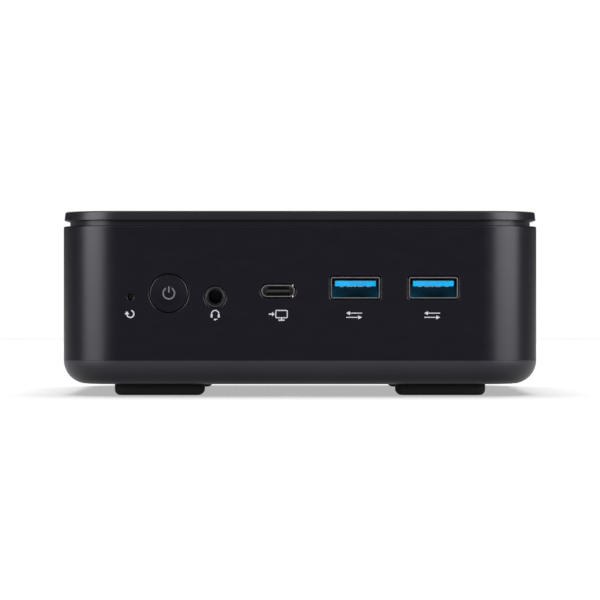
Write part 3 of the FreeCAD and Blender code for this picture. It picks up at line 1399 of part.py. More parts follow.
def make_drive():
    half_width, half_depth = "drive_width / 2", "drive_depth / 2"
    node("sata_drive", prism("top", "drive_under", "drive_height", draw_rounded, "0", "0",
                             "drive_width", "drive_depth", "drive_corner"))

    side = f"({half_depth} + tray_gap)"
    outer = f"({side} + tray_sheet)"
    across = (f"-{half_width}", half_width)
    floor = block(across, (f"-{outer}", outer), ("floor_top", "drive_under"))
    walls = [block(across, span, ("drive_under", "drive_under + tray_wall"))
             for span in ((f"-{outer}", f"-{side}"), (side, outer))]
    window = middle_block("0", "0", "tray_window", "tray_window_depth",
                          ("floor_top", "drive_under"))
    node("drive_tray", cut(fuse(floor, *walls), window))

    plug_end = f"-{half_width} - drive_plug_out"
    body = new_body("ribbon")
    outline = new_sketch(body, "front", "ribbon_y + ribbon_width / 2")
    out = f"{plug_end} - ribbon_out"
    low, high = "drive_level", "board_under - ribbon_drop"
    end = f"{plug_end} + ribbon_end"
    draw_polygon(outline, [(plug_end, f"{low} - ribbon / 2"), (out, f"{low} - ribbon / 2"),
                           (out, f"{high} + ribbon / 2"), (end, f"{high} + ribbon / 2"),
                           (end, f"{high} - ribbon / 2"),
                           (f"{out} + ribbon", f"{high} - ribbon / 2"),
                           (f"{out} + ribbon", f"{low} + ribbon / 2"),
                           (plug_end, f"{low} + ribbon / 2")])
    pad(body, outline, "ribbon_width")
    near, far = "ribbon_y - ribbon_width / 2", "ribbon_y + ribbon_width / 2"
    plug = block((plug_end, f"-{half_width}"), (f"{near} - drive_plug_side", far),
                 ("drive_level - drive_plug_height / 2", "drive_level + drive_plug_height / 2"))
    socket = block((end, f"{end} + ribbon_socket"), (near, far),
                   (f"{high} - ribbon_socket_under", "board_under"))
    node("drive_cable", fuse(body, plug, socket))


def make_aerials():
    boards = []
    for side in (-1, 1):
        middle = ("-(body_width / 2 - aerial_inset)", f"aerial_y + {side} * aerial_spread / 2")
        boards.append(middle_block(*middle, "aerial_width", "aerial_length",
                                   ("deck_under - aerial_height", "deck_under")))
    node("antennas", group(*boards))

    leads = []
    for side in (-1, 1):
        y = f"aerial_y + {side} * lead_spread / 2"
        start = f"radio_x - {side} * lead_start"
        bend_x, bend_level = "lead_x + lead_bend", "lead_level + lead_bend"
        elbow = doc.addObject("Part::Torus", "elbow")
        bind(elbow, "Radius1", "lead_bend")
        bind(elbow, "Radius2", "lead_radius")
        elbow.Angle3 = 90
        elbow.Placement.Rotation = FreeCAD.Rotation(Vector(-1, 0, 0), Vector(0, 0, -1),
                                                    Vector(0, -1, 0), "XZY")
        for axis, text in zip("xyz", (bend_x, y, bend_level)):
            bind(elbow, f"Placement.Base.{axis}", text)
        leads.append(fuse(rod("z", (start, y), "snap_radius",
                              ("lead_level - snap_height / 2", "lead_level + snap_height / 2")),
                          rod("x", (y, "lead_level"), "lead_radius", (bend_x, start)), elbow,
                          rod("z", ("lead_x", y), "lead_radius",
                              (bend_level, "deck_under - aerial_height"))))
    node("antenna_leads", group(*leads))


make_main_housing()
make_base_cover()
make_top_cover()
make_feet()
make_base_fasteners()
make_rear_plate()
make_power_button()
make_switches()
make_front_ports()
make_rear_ports()
make_mainboard()
make_board_parts()
make_heat_sink()
make_blower()
make_memory()
make_cards()
make_drive()
make_aerials()

doc.recompute()
for thing in doc.Objects:
    if {"Invalid", "Error"} & set(thing.State):
        raise ValueError(f"{thing.Name} ({thing.Label}) failed")
for thing in nodes:
    if thing.Shape.isNull() or not thing.Shape.isValid():
        raise ValueError(f"{thing.Label} has no valid shape")

os.makedirs("parts", exist_ok=True)
for thing in nodes:
    thing.Shape.exportStep(f"parts/{thing.Label}.step")
    print(f"{thing.Label}: {len(thing.Shape.Solids)} solids, {thing.Shape.Volume:.1f} mm3")
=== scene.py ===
"""Looks of a compact desktop computer: casing, ports, printed marks and finishes around its frame.

Everything is in metres, +X to the right seen from the front, -Y out of the front face, +Z up.
"""
import json
import math

import bmesh
import bpy
from bpy.props import FloatProperty, FloatVectorProperty, IntProperty, PointerProperty
from mathutils import Matrix, Vector


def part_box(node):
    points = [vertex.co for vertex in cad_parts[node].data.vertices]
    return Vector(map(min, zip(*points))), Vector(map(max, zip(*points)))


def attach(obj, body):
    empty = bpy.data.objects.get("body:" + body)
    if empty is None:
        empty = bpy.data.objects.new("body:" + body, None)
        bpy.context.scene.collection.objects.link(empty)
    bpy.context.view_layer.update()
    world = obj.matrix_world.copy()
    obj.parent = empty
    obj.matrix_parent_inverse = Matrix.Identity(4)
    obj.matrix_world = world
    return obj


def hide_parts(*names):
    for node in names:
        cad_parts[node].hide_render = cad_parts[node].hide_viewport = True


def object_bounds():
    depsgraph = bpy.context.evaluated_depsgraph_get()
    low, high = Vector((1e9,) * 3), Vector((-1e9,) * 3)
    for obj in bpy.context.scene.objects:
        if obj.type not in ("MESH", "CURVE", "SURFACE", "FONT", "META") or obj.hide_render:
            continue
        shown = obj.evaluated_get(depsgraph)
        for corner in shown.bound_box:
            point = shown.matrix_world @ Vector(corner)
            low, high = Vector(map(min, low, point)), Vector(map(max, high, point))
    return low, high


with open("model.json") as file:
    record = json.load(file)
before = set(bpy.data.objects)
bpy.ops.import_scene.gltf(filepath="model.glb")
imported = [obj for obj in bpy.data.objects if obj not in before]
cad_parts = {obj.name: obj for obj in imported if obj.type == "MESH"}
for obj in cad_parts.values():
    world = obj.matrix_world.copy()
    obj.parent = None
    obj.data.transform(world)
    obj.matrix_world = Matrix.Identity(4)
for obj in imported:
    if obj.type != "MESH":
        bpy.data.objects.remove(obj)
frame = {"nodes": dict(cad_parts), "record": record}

bl_info = {
    "name": "Mini Computer",
    "version": (1, 0, 0),
    "blender": (4, 5, 0),
    "location": "3D View > Sidebar > Mini Computer",
    "description": "Models the casing, ports and finishes of a compact desktop computer",
    "category": "Object",
}

CAD_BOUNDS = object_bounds()
MM = 0.001
CREASE = 28                     # degrees between two faces from which their edge stays sharp
CORNERS = ((-1, -1), (1, -1), (-1, 1), (1, 1))
FEET = ("foot_front_left", "foot_front_right", "foot_rear_left", "foot_rear_right")
FRONT = -CAD_BOUNDS[0][1]       # the front face stands this far in front of the middle
SLOT_OF = {part["node"]: part["material_slot"] for part in frame["record"]["subparts"]}
ROUND, OVAL = 0.999, 0.995      # shares of the full radius that keep the corners apart

# Bevel in millimetres on the edges of the rear ports
REAR_EDGES = {"dc_jack": 0.25, "hdmi_shell": 0.07, "display_shell": 0.07,
              "video_tongues": 0.1, "ethernet_shell": 0.12, "usb_stack_shell": 0.09,
              "usb_stack_tongues": 0.12, "rear_io_plate": 0.08, "dc_pin": 0.2}
# Thickness in millimetres of the laminate in the cards that carry chips
CARD_LAMINATES = {"memory_modules": 1.2, "ssd_module": 0.8, "wifi_card": 0.8}
# Name, degrees from the camera's side, height, distance, width, height of the light, watts
SOFTBOXES = (("left softbox", -56, 0.42, 1.1, 0.84, 0.84, 43),
             ("right softbox", 57, 0.42, 1.1, 1.0, 0.84, 50),
             ("front strip", 0, 0.7, 1.1, 1.4, 0.5, 5.5),
             ("rear softbox", 180, 0.85, 1.2, 1.8, 0.8, 9))

BLACK = (0.004, 0.004, 0.0045, 1.0)
CHIP_BLACK = (0.008, 0.008, 0.009, 1.0)
GREY_DUST = (0.010, 0.0098, 0.0095, 1.0)
LAMINATE = (0.006, 0.035, 0.022, 1.0)
PAD_GOLD = (0.55, 0.38, 0.14, 1.0)
WHITE = (1.0, 1.0, 1.0, 1.0)
COOL_LIGHT = (0.96, 0.95, 1.0)


def middle_of(node):
    low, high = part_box(node)
    return (low + high) / 2


def size_of(node):
    low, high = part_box(node)
    return high - low


# ---------------------------------------------------------------- what a user may change
def length(label, description, millimetres):
    return FloatProperty(name=label, description=description, default=millimetres * MM,
                         min=0.0, precision=5, unit="LENGTH")


def amount(label, description, value):
    return FloatProperty(name=label, description=description, default=value, min=0.0,
                         precision=3)


def colour(label, description, value):
    return FloatVectorProperty(name=label, description=description, default=value, size=4,
                               min=0.0, max=1.0, subtype="COLOR")


def count(label, description, default):
    return IntProperty(name=label, description=description, default=default, min=1, max=64)


class CasingSizes(bpy.types.PropertyGroup):
    corner: length("Corner", "Radius of the upright corners", 16)
    arc_steps: count("Corner steps", "Faces around each upright corner", 28)
    wall: length("Wall", "Thickness of the housing's walls", 2)
    deck_edge: length("Deck edge", "Rounding around the housing's top", 0.4)
    seam_edge: length("Seam edge", "Rounding on the housing's side of the base seam", 0.12)
    mouth_bevel: length("Port rounding", "Rounding around each opening in the front", 0.2)
    rear_lap: length("Rear lap", "How far the housing laps over the rear plate", 0.7)
    rear_corner: length("Rear corner", "Corners of the opening at the rear", 1.5)
    neck: length("Neck", "Height of the neck between the housing and the lid", 1.5)
    neck_inset: length("Neck inset", "How far the neck stands behind the housing", 1.75)
    neck_wall: length("Neck wall", "Thickness of the neck", 3)
    lid_skin: length("Lid thickness", "Thickness of the lid above its hollow", 1.4)
    lid_edge: length("Lid edge", "Rounding around the lid", 0.5)
    lid_lower_edge: length("Lid lower edge", "Rounding around the lid's underside", 0.12)
    lid_draft: length("Lid draft", "How far the lid's edge leans in", 0.25)


class BaseSizes(bpy.types.PropertyGroup):
    rounding: length("Rounding", "Between the base's side and its floor", 6.349)
    wall: length("Wall", "Thickness of the base's side, with its rim", 3.35)
    floor: length("Floor", "Thickness of the base's floor", 2)
    inner_rounding: length("Inner rounding", "Between the side and the floor inside", 3)
    seam_edge: length("Seam edge", "Rounding on the base's side of the seam", 0.04)
    foot_corner: length("Foot corner", "Radius of the feet's corners", 2.75)
    foot_edge: length("Foot edge", "Rounding around the soles", 1.5)
    seat_gap: length("Seat gap", "Between a foot and the edge of its seat", 0.1)
    seat_depth: length("Seat depth", "How far the feet sink into the base", 0.4)
    screw_head: length("Screw head", "Radius of the base screws' heads", 2.2)
    screw_well: length("Screw well", "Radius of the wells for the screws", 2.5)
    screw_depth: length("Screw depth", "Depth of the wells for the screws", 1.7)
    insert: length("Insert", "Radius of the brass inserts", 2.6)
    insert_depth: length("Insert depth", "Depth of the holes for the inserts", 4)


class VentSizes(bpy.types.PropertyGroup):
    side_count: count("Side slots", "Slots in each side of the housing", 14)
    side_width: length("Side width", "Width of a side slot", 1.6)
    side_end: length("Side end", "Radius of a side slot's ends", 0.79)
    side_height: length("Side height", "Height of a side slot", 9)
    side_pitch: length("Side pitch", "From one side slot to the next", 4)
    side_drop: length("Side drop", "Middle of the side slots below the deck", 10)
    base_count: count("Base slots", "Slots in the base's floor", 9)
    base_width: length("Base width", "Width of a base slot", 2)
    base_end: length("Base end", "Radius of a base slot's ends", 0.99)
    base_length: length("Base length", "Length of a base slot", 30)
    base_pitch: length("Base pitch", "From one base slot to the next", 5)


class PortSizes(bpy.types.PropertyGroup):
    gap: length("Gap", "Between a port's shell and the opening around it", 0.3)
    sheet: length("Sheet", "Thickness of the port shells", 0.3)
    lip: length("Lip", "Rounding on the mouth of a port shell", 0.12)
    shell_corner: length("Shell corner", "Outer corners of the USB-A shells", 0.6)
    mouth_corner: length("Mouth corner", "Corners of the openings around them", 0.9)
    tongue_edge: length("Tongue edge", "Broken edges of the USB-A tongues", 0.12)
    thin_tongue_edge: length("Thin tongue edge", "Broken edges of the USB-C tongue", 0.08)
    audio_hole: length("Headset hole", "Radius of the opening around the headset jack", 2.95)
    audio_edge: length("Headset edge", "Broken edges of the headset jack", 0.12)
    ring_edge: length("Ring edge", "Broken edges of the headset jack's ring", 0.1)
    reset_hole: length("Reset hole", "Radius of the reset pinhole", 0.85)
    button: length("Button", "Radius of the power button", 5.05)
    button_gap: length("Button gap", "Between the power button and the housing", 0.2)
    button_bevel: length("Button rounding", "Rounding around the power button", 0.3)
    button_dish: length("Button dish", "Hollow of the power button's face", 0.35)
    flange_depth: length("Flange depth", "The button's flange behind the front face", 2.1)
    flange: length("Flange", "Thickness of the button's flange", 1)
    stem: length("Stem", "Radius of the button's stem", 1.2)


class MarkSizes(bpy.types.PropertyGroup):
    line: length("Line", "Line width of the printed marks", 0.32)
    drop: length("Drop", "Marks below the middle of their ports", 7.3)
    hole_drop: length("Hole drop", "Reset and headset marks below their holes", 4.5)
    shift: length("Shift", "Data marks left of the middle of their ports", 0.35)
    ink: length("Ink", "Thickness of the printing", 0.004)


class Finishes(bpy.types.PropertyGroup):
    case: colour("Casing", "Moulded charcoal plastic", (0.0008, 0.0006, 0.0018, 1.0))
    # Lid: lighter than the casing's plastic; the extra lightness is painted light, standing in for
    # the light from above on the lid
    lid: colour("Lid", "Moulded plastic of the lid", (0.0036, 0.0034, 0.0044, 1.0))
    # Base: lighter than the casing's plastic; the extra lightness is painted light, standing in
    # for the floor's light reflected on the base
    base: colour("Base", "Moulded plastic of the base cover", (0.0080, 0.0076, 0.0092, 1.0))
    rubber: colour("Feet", "Black rubber", (0.0022, 0.0022, 0.0025, 1.0))
    shell: colour("Port shells", "Plated sheet metal", (0.17, 0.158, 0.153, 1.0))
    fast_port: colour("Fast port", "Blue port insulator", (0.0006, 0.132, 0.245, 1.0))
    ink: colour("Print", "White printing", (0.18, 0.18, 0.19, 1.0))
    symbol: colour("Power symbol", "Grey light guide", (0.042, 0.042, 0.047, 1.0))


class StudioSettings(bpy.types.PropertyGroup):
    distance: length("Camera distance", "Camera to the front face", 900)
    field: length("Field", "Width seen at the front face", 159.15)
    eye: length("Eye level", "Camera above the floor", 25.5)
    floor_glow: amount("Floor glow", "Light that the floor itself gives off", 0.43)
    backdrop_glow: amount("Backdrop glow", "Light that the backdrop gives off", 1.05)
    overhead: amount("Overhead light", "Strength of the broad light from above", 2.3)
    surround: amount("Surround", "Light from all round, apart from what the camera sees", 0.03)


GROUPS = {"mini_casing": CasingSizes, "mini_base": BaseSizes, "mini_vents": VentSizes,
          "mini_ports": PortSizes, "mini_marks": MarkSizes, "mini_finishes": Finishes,
          "mini_studio": StudioSettings}


# ---------------------------------------------------------------- shader sums
class Wire:
    """A shader socket that can be used in Python sums."""

    def __init__(self, recipe, socket):
        self.recipe = recipe
        self.socket = socket

    def __add__(self, other):
        return self.recipe.maths("ADD", self, other)

    __radd__ = __add__

    def __sub__(self, other):
        return self.recipe.maths("SUBTRACT", self, other)

    def __rsub__(self, other):
        return self.recipe.maths("SUBTRACT", other, self)

    def __mul__(self, other):
        return self.recipe.maths("MULTIPLY", self, other)

    __rmul__ = __mul__

    def __abs__(self):
        return self.recipe.maths("ABSOLUTE", self)

    def above(self, level):
        """1 where the value is over the level, 0 elsewhere."""
        return self.recipe.maths("GREATER_THAN", self, level)


class Recipe:
    """One procedural material, built around a principled shader."""

    def __init__(self, name):
        self.material = bpy.data.materials.new(name)
        self.material.use_nodes = True
        self.tree = self.material.node_tree
        self.shader = self.tree.nodes["Principled BSDF"]
        self.place = self.node("ShaderNodeTexCoord", output="Object")

    def node(self, kind, settings=None, values=None, output=0):
        """Add a node: its settings first, then the values or links of its sockets."""
        made = self.tree.nodes.new(kind)
        for name, value in (settings or {}).items():
            setattr(made, name, value)
        for name, value in (values or {}).items():
            self.feed(made.inputs[name], value)
        return Wire(self, made.outputs[output])

    def feed(self, socket, value):
        if isinstance(value, Wire):
            self.tree.links.new(value.socket, socket)
        else:
            socket.default_value = value

    def maths(self, operation, *terms):
        """A Math node on sockets or numbers."""
        return self.node("ShaderNodeMath", {"operation": operation}, dict(enumerate(terms)))

    def axis(self, vector, name):
        """One coordinate of a vector."""
        return self.node("ShaderNodeSeparateXYZ", None, {"Vector": vector}, output=name)

    def stretched(self, x, y, z):
        """Object coordinates multiplied along each axis."""
        return self.node("ShaderNodeMapping", None, {"Vector": self.place, "Scale": (x, y, z)})

    def noise(self, scale, detail=2.0, rough=0.5, place=None):
        """Soft noise with scale grains to a metre."""
        return self.node("ShaderNodeTexNoise", None,
                         {"Vector": place or self.place, "Scale": scale, "Detail": detail,
                          "Roughness": rough})

    def cells(self, scale, randomness=1.0, **settings):
        """Distance from the middle of cells, with scale of them to a metre."""
        return self.node("ShaderNodeTexVoronoi", settings,
                         {"Vector": self.place, "Scale": scale, "Randomness": randomness})

    def ramp(self, value, low, high):
        """A value spread from 0 at low to 1 at high."""
        return self.node("ShaderNodeMapRange", None,
                         {"Value": value, "From Min": low, "From Max": high})

    def mix(self, share, first, second):
        """First colour at 0, second at 1."""
        return self.node("ShaderNodeMix", {"data_type": "RGBA"}, {0: share, 6: first, 7: second},
                         output=2)

    def shades(self, noise, tint, dark, light):
        """A tint that drifts between a darker and a lighter share with a noise."""
        return self.mix(self.ramp(noise, 0.3, 0.7), tinted(tint, dark), tinted(tint, light))

    def bump(self, height, distance):
        """Relief of a pattern, as deep as distance in metres."""
        return self.node("ShaderNodeBump", None, {"Height": height, "Distance": distance})

    def finish(self, **inputs):
        """Set shader sockets; underscores in a name stand for spaces."""
        for name, value in inputs.items():
            self.feed(self.shader.inputs[name.replace("_", " ")], value)
        return self.material


def tinted(value, share):
    """A colour made lighter or darker."""
    return tuple(min(1.0, channel * share) for channel in value[:3]) + (1.0,)


# ---------------------------------------------------------------- finishes
def moulded_plastic(name, tint, roughness=0.32, grain=0.00028, depth=0.000010, specular=0.14):
    """Charcoal plastic from a spark-eroded mould: fine pits, flow patches, dust in the pits."""
    recipe = Recipe(name)
    pits = recipe.noise(1 / grain, 3.0, 0.6)
    grit = recipe.cells(0.6 / grain)
    patches = recipe.noise(34, 4.0, 0.55)
    handling = recipe.noise(150, 5.0, 0.7, recipe.stretched(1.0, 1.0, 2.4))
    tone = recipe.shades(patches, tint, 0.9, 1.12)
    tone = recipe.mix(recipe.ramp(pits, 0.45, 0.8) * 0.5, tone, tinted(tint, 1.5))
    gloss = roughness + 0.1 * (handling - 0.5) + 0.08 * (pits - 0.5)
    height = pits + 0.5 * grit
    return recipe.finish(Base_Color=tone, Roughness=gloss, Specular_IOR_Level=specular,
                         Normal=recipe.bump(height, depth))


def smooth_plastic(name, tint, roughness=0.3, specular=0.3):
    """Moulded connector plastic: glossy skin, slow waves and faint flow lines."""
    recipe = Recipe(name)
    waves = recipe.noise(420, 3.0)
    flow = recipe.noise(1500, 3.0, 0.6, recipe.stretched(1.0, 0.2, 1.0))
    tone = recipe.shades(waves, tint, 0.86, 1.1)
    return recipe.finish(Base_Color=tone, Roughness=roughness + 0.16 * (flow - 0.5),
                         Specular_IOR_Level=specular, Normal=recipe.bump(flow, 0.000006))


def soft_rubber(name, tint):
    """Pressed rubber: dull, finely pitted, with grey dust."""
    recipe = Recipe(name)
    pits = recipe.noise(2600, 4.0, 0.65)
    dust = recipe.ramp(recipe.noise(520, 6.0, 0.7), 0.55, 0.8)
    tone = recipe.mix(dust * 0.35, tint, GREY_DUST)
    return recipe.finish(Base_Color=tone, Roughness=0.82 + 0.12 * (pits - 0.5),
                         Specular_IOR_Level=0.12, Normal=recipe.bump(pits, 0.00004))


def plated_sheet(name, tint, roughness):
    """Rolled, plated sheet: hair lines along the roll and faint stains."""
    recipe = Recipe(name)
    lines = recipe.noise(5200, 3.0, 0.7, recipe.stretched(1.0, 0.08, 1.0))
    stains = recipe.noise(240, 4.0, 0.6)
    tone = recipe.mix(recipe.ramp(stains, 0.35, 0.75), tint, tinted(tint, 0.72))
    gloss = roughness + 0.22 * (lines - 0.5) + 0.12 * (stains - 0.5)
    return recipe.finish(Base_Color=tone, Metallic=1.0, Roughness=gloss,
                         Normal=recipe.bump(lines, 0.000005))


def satin_paint(name, tint):
    """Powder coat on steel: orange peel and a soft sheen."""
    recipe = Recipe(name)
    peel = recipe.cells(1500, feature="SMOOTH_F1")
    drift = recipe.noise(60, 4.0)
    tone = recipe.shades(drift, tint, 0.85, 1.15)
    return recipe.finish(Base_Color=tone, Roughness=0.42 + 0.1 * (drift - 0.5),
                         Specular_IOR_Level=0.4, Normal=recipe.bump(peel, 0.00002))


def circuit_board(name, tint, chips_below=None):
    """Solder mask over copper: square traces, round pads, plain cut edges and black chips."""
    recipe = Recipe(name)
    normal = recipe.node("ShaderNodeTexCoord", output="Normal")
    flat = abs(recipe.axis(normal, "Z")).above(0.5)
    if chips_below is not None:
        chips = 1 - recipe.axis(recipe.place, "Z").above(chips_below)
        flat = flat * (1 - chips)
    traces = recipe.cells(420, 0.85, distance="CHEBYCHEV")
    lines = recipe.maths("PINGPONG", traces, 0.09)
    copper = recipe.ramp(lines, 0.035, 0.05) * flat
    pads = (1 - recipe.cells(900, 0.25).above(0.22)) * flat
    weave = recipe.noise(3000, 2.0, 0.5, recipe.stretched(1.0, 0.3, 1.0))
    tone = recipe.mix(copper, tinted(tint, 0.7), tinted(tint, 1.5))
    tone = recipe.mix(pads * 0.6, tone, PAD_GOLD)
    if chips_below is not None:
        tone = recipe.mix(chips, tone, CHIP_BLACK)
    return recipe.finish(Base_Color=tone, Metallic=pads * 0.7,
                         Roughness=0.32 + 0.1 * (weave - 0.5),
                         Normal=recipe.bump(copper + weave * 0.3, 0.00002))


def ground_metal(name, tint, roughness=0.3, scale=1800):
    """Machined or drawn metal with a slightly uneven polish."""
    recipe = Recipe(name)
    turning = recipe.noise(scale, 4.0, 0.65)
    tarnish = recipe.ramp(recipe.noise(110, 5.0, 0.6), 0.4, 0.8)
    tone = recipe.mix(tarnish, tint, tinted(tint, 0.6))
    return recipe.finish(Base_Color=tone, Metallic=1.0,
                         Roughness=roughness + 0.2 * (turning - 0.5),
                         Normal=recipe.bump(turning, 0.000008))


def printed_ink(name, tint):
    """Pad-printed ink: matt, with a ragged screen in its density."""
    recipe = Recipe(name)
    screen = recipe.noise(9000, 2.0)
    tone = recipe.shades(screen, tint, 0.88, 1.0)
    return recipe.finish(Base_Color=tone, Roughness=0.6 + 0.1 * (screen - 0.5),
                         Normal=recipe.bump(screen, 0.000004))


def light_guide(name, tint):
    """Unlit translucent inlay of the power symbol."""
    recipe = Recipe(name)
    cloud = recipe.noise(1200, 3.0)
    tone = recipe.shades(cloud, tint, 0.9, 1.1)
    return recipe.finish(Base_Color=tone, Roughness=0.35 + 0.1 * (cloud - 0.5),
                         Normal=recipe.bump(cloud, 0.000006))


def make_finishes(tints):
    """One material for each of the record's slots."""
    case = tuple(tints.case)
    return {
        # The lid's lighter tint is painted light, standing in for the light from above on the lid
        "lid_plastic": moulded_plastic("lid plastic with painted top light", tuple(tints.lid), 0.33, 0.0003,
                                       specular=0.12),
        "case_plastic": moulded_plastic("case plastic", case),
        # The base's lighter tint is painted light, standing in for the floor's light reflected on
        # the base
        "base_plastic": moulded_plastic("base plastic with painted floor light", tuple(tints.base), 0.36, specular=0.18),
        "foot_rubber": soft_rubber("foot rubber", tuple(tints.rubber)),
        "black_screw": ground_metal("black screw", (0.05, 0.05, 0.055, 1.0), 0.4),
        "insert_brass": ground_metal("insert brass", (0.72, 0.52, 0.25, 1.0)),
        "rear_sheet": satin_paint("rear sheet", (0.012, 0.012, 0.013, 1.0)),
        "button_plastic": moulded_plastic("button plastic", case, 0.3, 0.0002, 0.000006),
        "symbol_light": light_guide("symbol light", tuple(tints.symbol)),
        "black_plastic": smooth_plastic("black plastic", BLACK, 0.4),
        "switch_plastic": smooth_plastic("switch plastic", BLACK),
        "shell_steel": plated_sheet("shell steel", tuple(tints.shell), 0.36),
        "nickel_ring": plated_sheet("nickel ring", (0.018, 0.018, 0.02, 1.0), 0.3),
        "fast_port_blue": smooth_plastic("fast port blue", tuple(tints.fast_port), 0.38, 0.16),
        "contact_gold": ground_metal("contact gold", (0.90, 0.62, 0.24, 1.0), 0.22),
        "board_laminate": circuit_board("board laminate", LAMINATE),
        "silicon": ground_metal("silicon", (0.30, 0.31, 0.34, 1.0), 0.15, 400),
        "choke_ferrite": satin_paint("choke ferrite", (0.05, 0.05, 0.053, 1.0)),
        "cell_steel": ground_metal("cell steel", (0.66, 0.65, 0.62, 1.0)),
        "copper": ground_metal("copper", (0.72, 0.33, 0.17, 1.0), 0.34),
        "fin_aluminium": plated_sheet("fin aluminium", (0.70, 0.71, 0.72, 1.0), 0.32),
        "zinc_screw": ground_metal("zinc screw", (0.58, 0.58, 0.57, 1.0), 0.33),
        "tray_steel": plated_sheet("tray steel", (0.50, 0.50, 0.51, 1.0), 0.35),
        "drive_case": satin_paint("drive case", (0.10, 0.10, 0.11, 1.0)),
        "cable_film": smooth_plastic("cable film", (0.02, 0.018, 0.015, 1.0)),
        "aerial_film": circuit_board("aerial film", (0.010, 0.012, 0.012, 1.0)),
        "lead_jacket": smooth_plastic("lead jacket", (0.012, 0.012, 0.013, 1.0), 0.35),
        "ink": printed_ink("white print", tuple(tints.ink)),
    }


finishes = {}


def finish_for(slot_name):
    if not finishes:
        finishes.update(make_finishes(bpy.context.scene.mini_finishes))
    return finishes[slot_name]


# ---------------------------------------------------------------- mesh work
def outline(bm, width, depth, radius, steps):
    """A flat face about the origin with round corners."""
    corners = bmesh.ops.create_grid(bm, x_segments=1, y_segments=1, size=0.5)["verts"]
    bmesh.ops.scale(bm, vec=(width, depth, 1.0), verts=corners)
    if radius > 0:
        bmesh.ops.bevel(bm, geom=corners, affect="VERTICES",
                        offset=min(radius, min(width, depth) / 2), segments=steps,
                        profile=0.5, material=-1)
        bmesh.ops.remove_doubles(bm, verts=bm.verts, dist=2e-6)
    bm.faces.ensure_lookup_table()
    return max(bm.faces, key=lambda face: len(face.verts))


def grow(bm, face, rise, inset):
    """Move a flat face up with a wall below it, its outline drawn in by inset."""
    moved = bmesh.ops.extrude_face_region(bm, geom=[face, *face.edges])["geom"]
    points = [item for item in moved if isinstance(item, bmesh.types.BMVert)]
    top = next(item for item in moved if isinstance(item, bmesh.types.BMFace))
    bmesh.ops.translate(bm, vec=(0.0, 0.0, rise), verts=points)
    if inset:
        across = [point.co.x for point in points]
        deep = [point.co.y for point in points]
        spans = (max(across) - min(across), max(deep) - min(deep))
        bmesh.ops.scale(bm, vec=[1 - 2 * inset / span for span in spans] + [1.0], verts=points)
    return top


def slab(width, depth, radius, low, high, steps=12, top_inset=0.0):
    """A closed prism with round upright corners, its top drawn in by top_inset."""
    return tower(width, depth, radius, [(low, 0.0), (high, top_inset)], steps)


def tower(width, depth, radius, levels, steps=12):
    """A closed stack of round-cornered outlines; levels hold each height and inset."""
    bm = bmesh.new()
    face = outline(bm, width, depth, radius, steps)
    (low, inset), *rest = levels
    bmesh.ops.translate(bm, vec=(0.0, 0.0, low), verts=bm.verts)
    for level, reach in rest:
        face = grow(bm, face, level - low, reach - inset)
        low, inset = level, reach
    bmesh.ops.recalc_face_normals(bm, faces=bm.faces)
    return bm


def disc_slab(radius, low, high, steps=48):
    """A closed cylinder standing on Z."""
    bm = bmesh.new()
    bmesh.ops.create_cone(bm, cap_ends=True, segments=steps, radius1=radius, radius2=radius,
                          depth=high - low)
    return moved(bm, 0.0, 0.0, (low + high) / 2)


def flat_edges(bm, level):
    """Edges that lie at one height and part two faces at an angle."""
    return [edge for edge in bm.edges
            if all(abs(end.co.z - level) < 1e-6 for end in edge.verts)
            and edge.calc_face_angle(0.0) > 0.3]


def round_rim(bm, level, radius, segments=4):
    """Round the sharp edges at one height."""
    bmesh.ops.bevel(bm, geom=flat_edges(bm, level), affect="EDGES", offset=radius,
                    segments=segments, profile=0.5, material=-1)


def turned(degrees, axis):
    return Matrix.Rotation(math.radians(degrees), 4, axis)


def moved(bm, x, y, z=0.0):
    bmesh.ops.translate(bm, vec=(x, y, z), verts=bm.verts)
    return bm


def facing(bm, side, x=0.0, z=0.0):
    """Turn a standing shape so that its top looks out of the front, the right or the rear."""
    around = {"front": 0, "right": 90, "rear": 180}[side]
    bmesh.ops.transform(bm, matrix=turned(around, "Z") @ turned(90, "X"), verts=bm.verts)
    return moved(bm, x, 0.0, z)


def spread(number, pitch):
    """Places in a row about the middle."""
    return [(index - (number - 1) / 2) * pitch for index in range(number)]


def merged(shapes):
    """Several shapes as one mesh, side by side."""
    whole = bmesh.new()
    for shape in shapes:
        part = bpy.data.meshes.new("part")
        shape.to_mesh(part)
        whole.from_mesh(part)
        shape.free()
        bpy.data.meshes.remove(part)
    return whole


def carved(solid, tools, operation="DIFFERENCE"):
    """The solid with the tools cut out of it, or joined to it with UNION."""
    pair = []
    for name, shape in (("solid", solid), ("tool", merged(tools))):
        mesh = bpy.data.meshes.new(name)
        shape.to_mesh(mesh)
        shape.free()
        thing = bpy.data.objects.new(name, mesh)
        bpy.context.scene.collection.objects.link(thing)
        pair.append(thing)
    base, tool = pair
    change = base.modifiers.new("cut", "BOOLEAN")
    change.operation, change.object, change.solver = operation, tool, "EXACT"
    change.use_self = True
    bpy.context.view_layer.update()
    result = bmesh.new()
    result.from_object(base, bpy.context.evaluated_depsgraph_get())
    for thing in pair:
        mesh = thing.data
        bpy.data.objects.remove(thing)
        bpy.data.meshes.remove(mesh)
    bmesh.ops.remove_doubles(result, verts=result.verts, dist=1e-7)
    return result


def make_piece(name, bm, slot_name, body="case", nodes=()):
    """Turn a shape into a smooth-shaded object with its finish, riding on a body."""
    mesh = bpy.data.meshes.new(name)
    bm.to_mesh(mesh)
    bm.free()
    mesh.polygons.foreach_set("use_smooth", [True] * len(mesh.polygons))
    mesh.set_sharp_from_angle(angle=math.radians(CREASE))
    piece = bpy.data.objects.new(name, mesh)
    bpy.context.scene.collection.objects.link(piece)
    mesh.materials.append(finish_for(slot_name))
    even = piece.modifiers.new("even shading", "WEIGHTED_NORMAL")
    even.keep_sharp = True
    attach(piece, body)
    if nodes:
        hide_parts(*nodes)


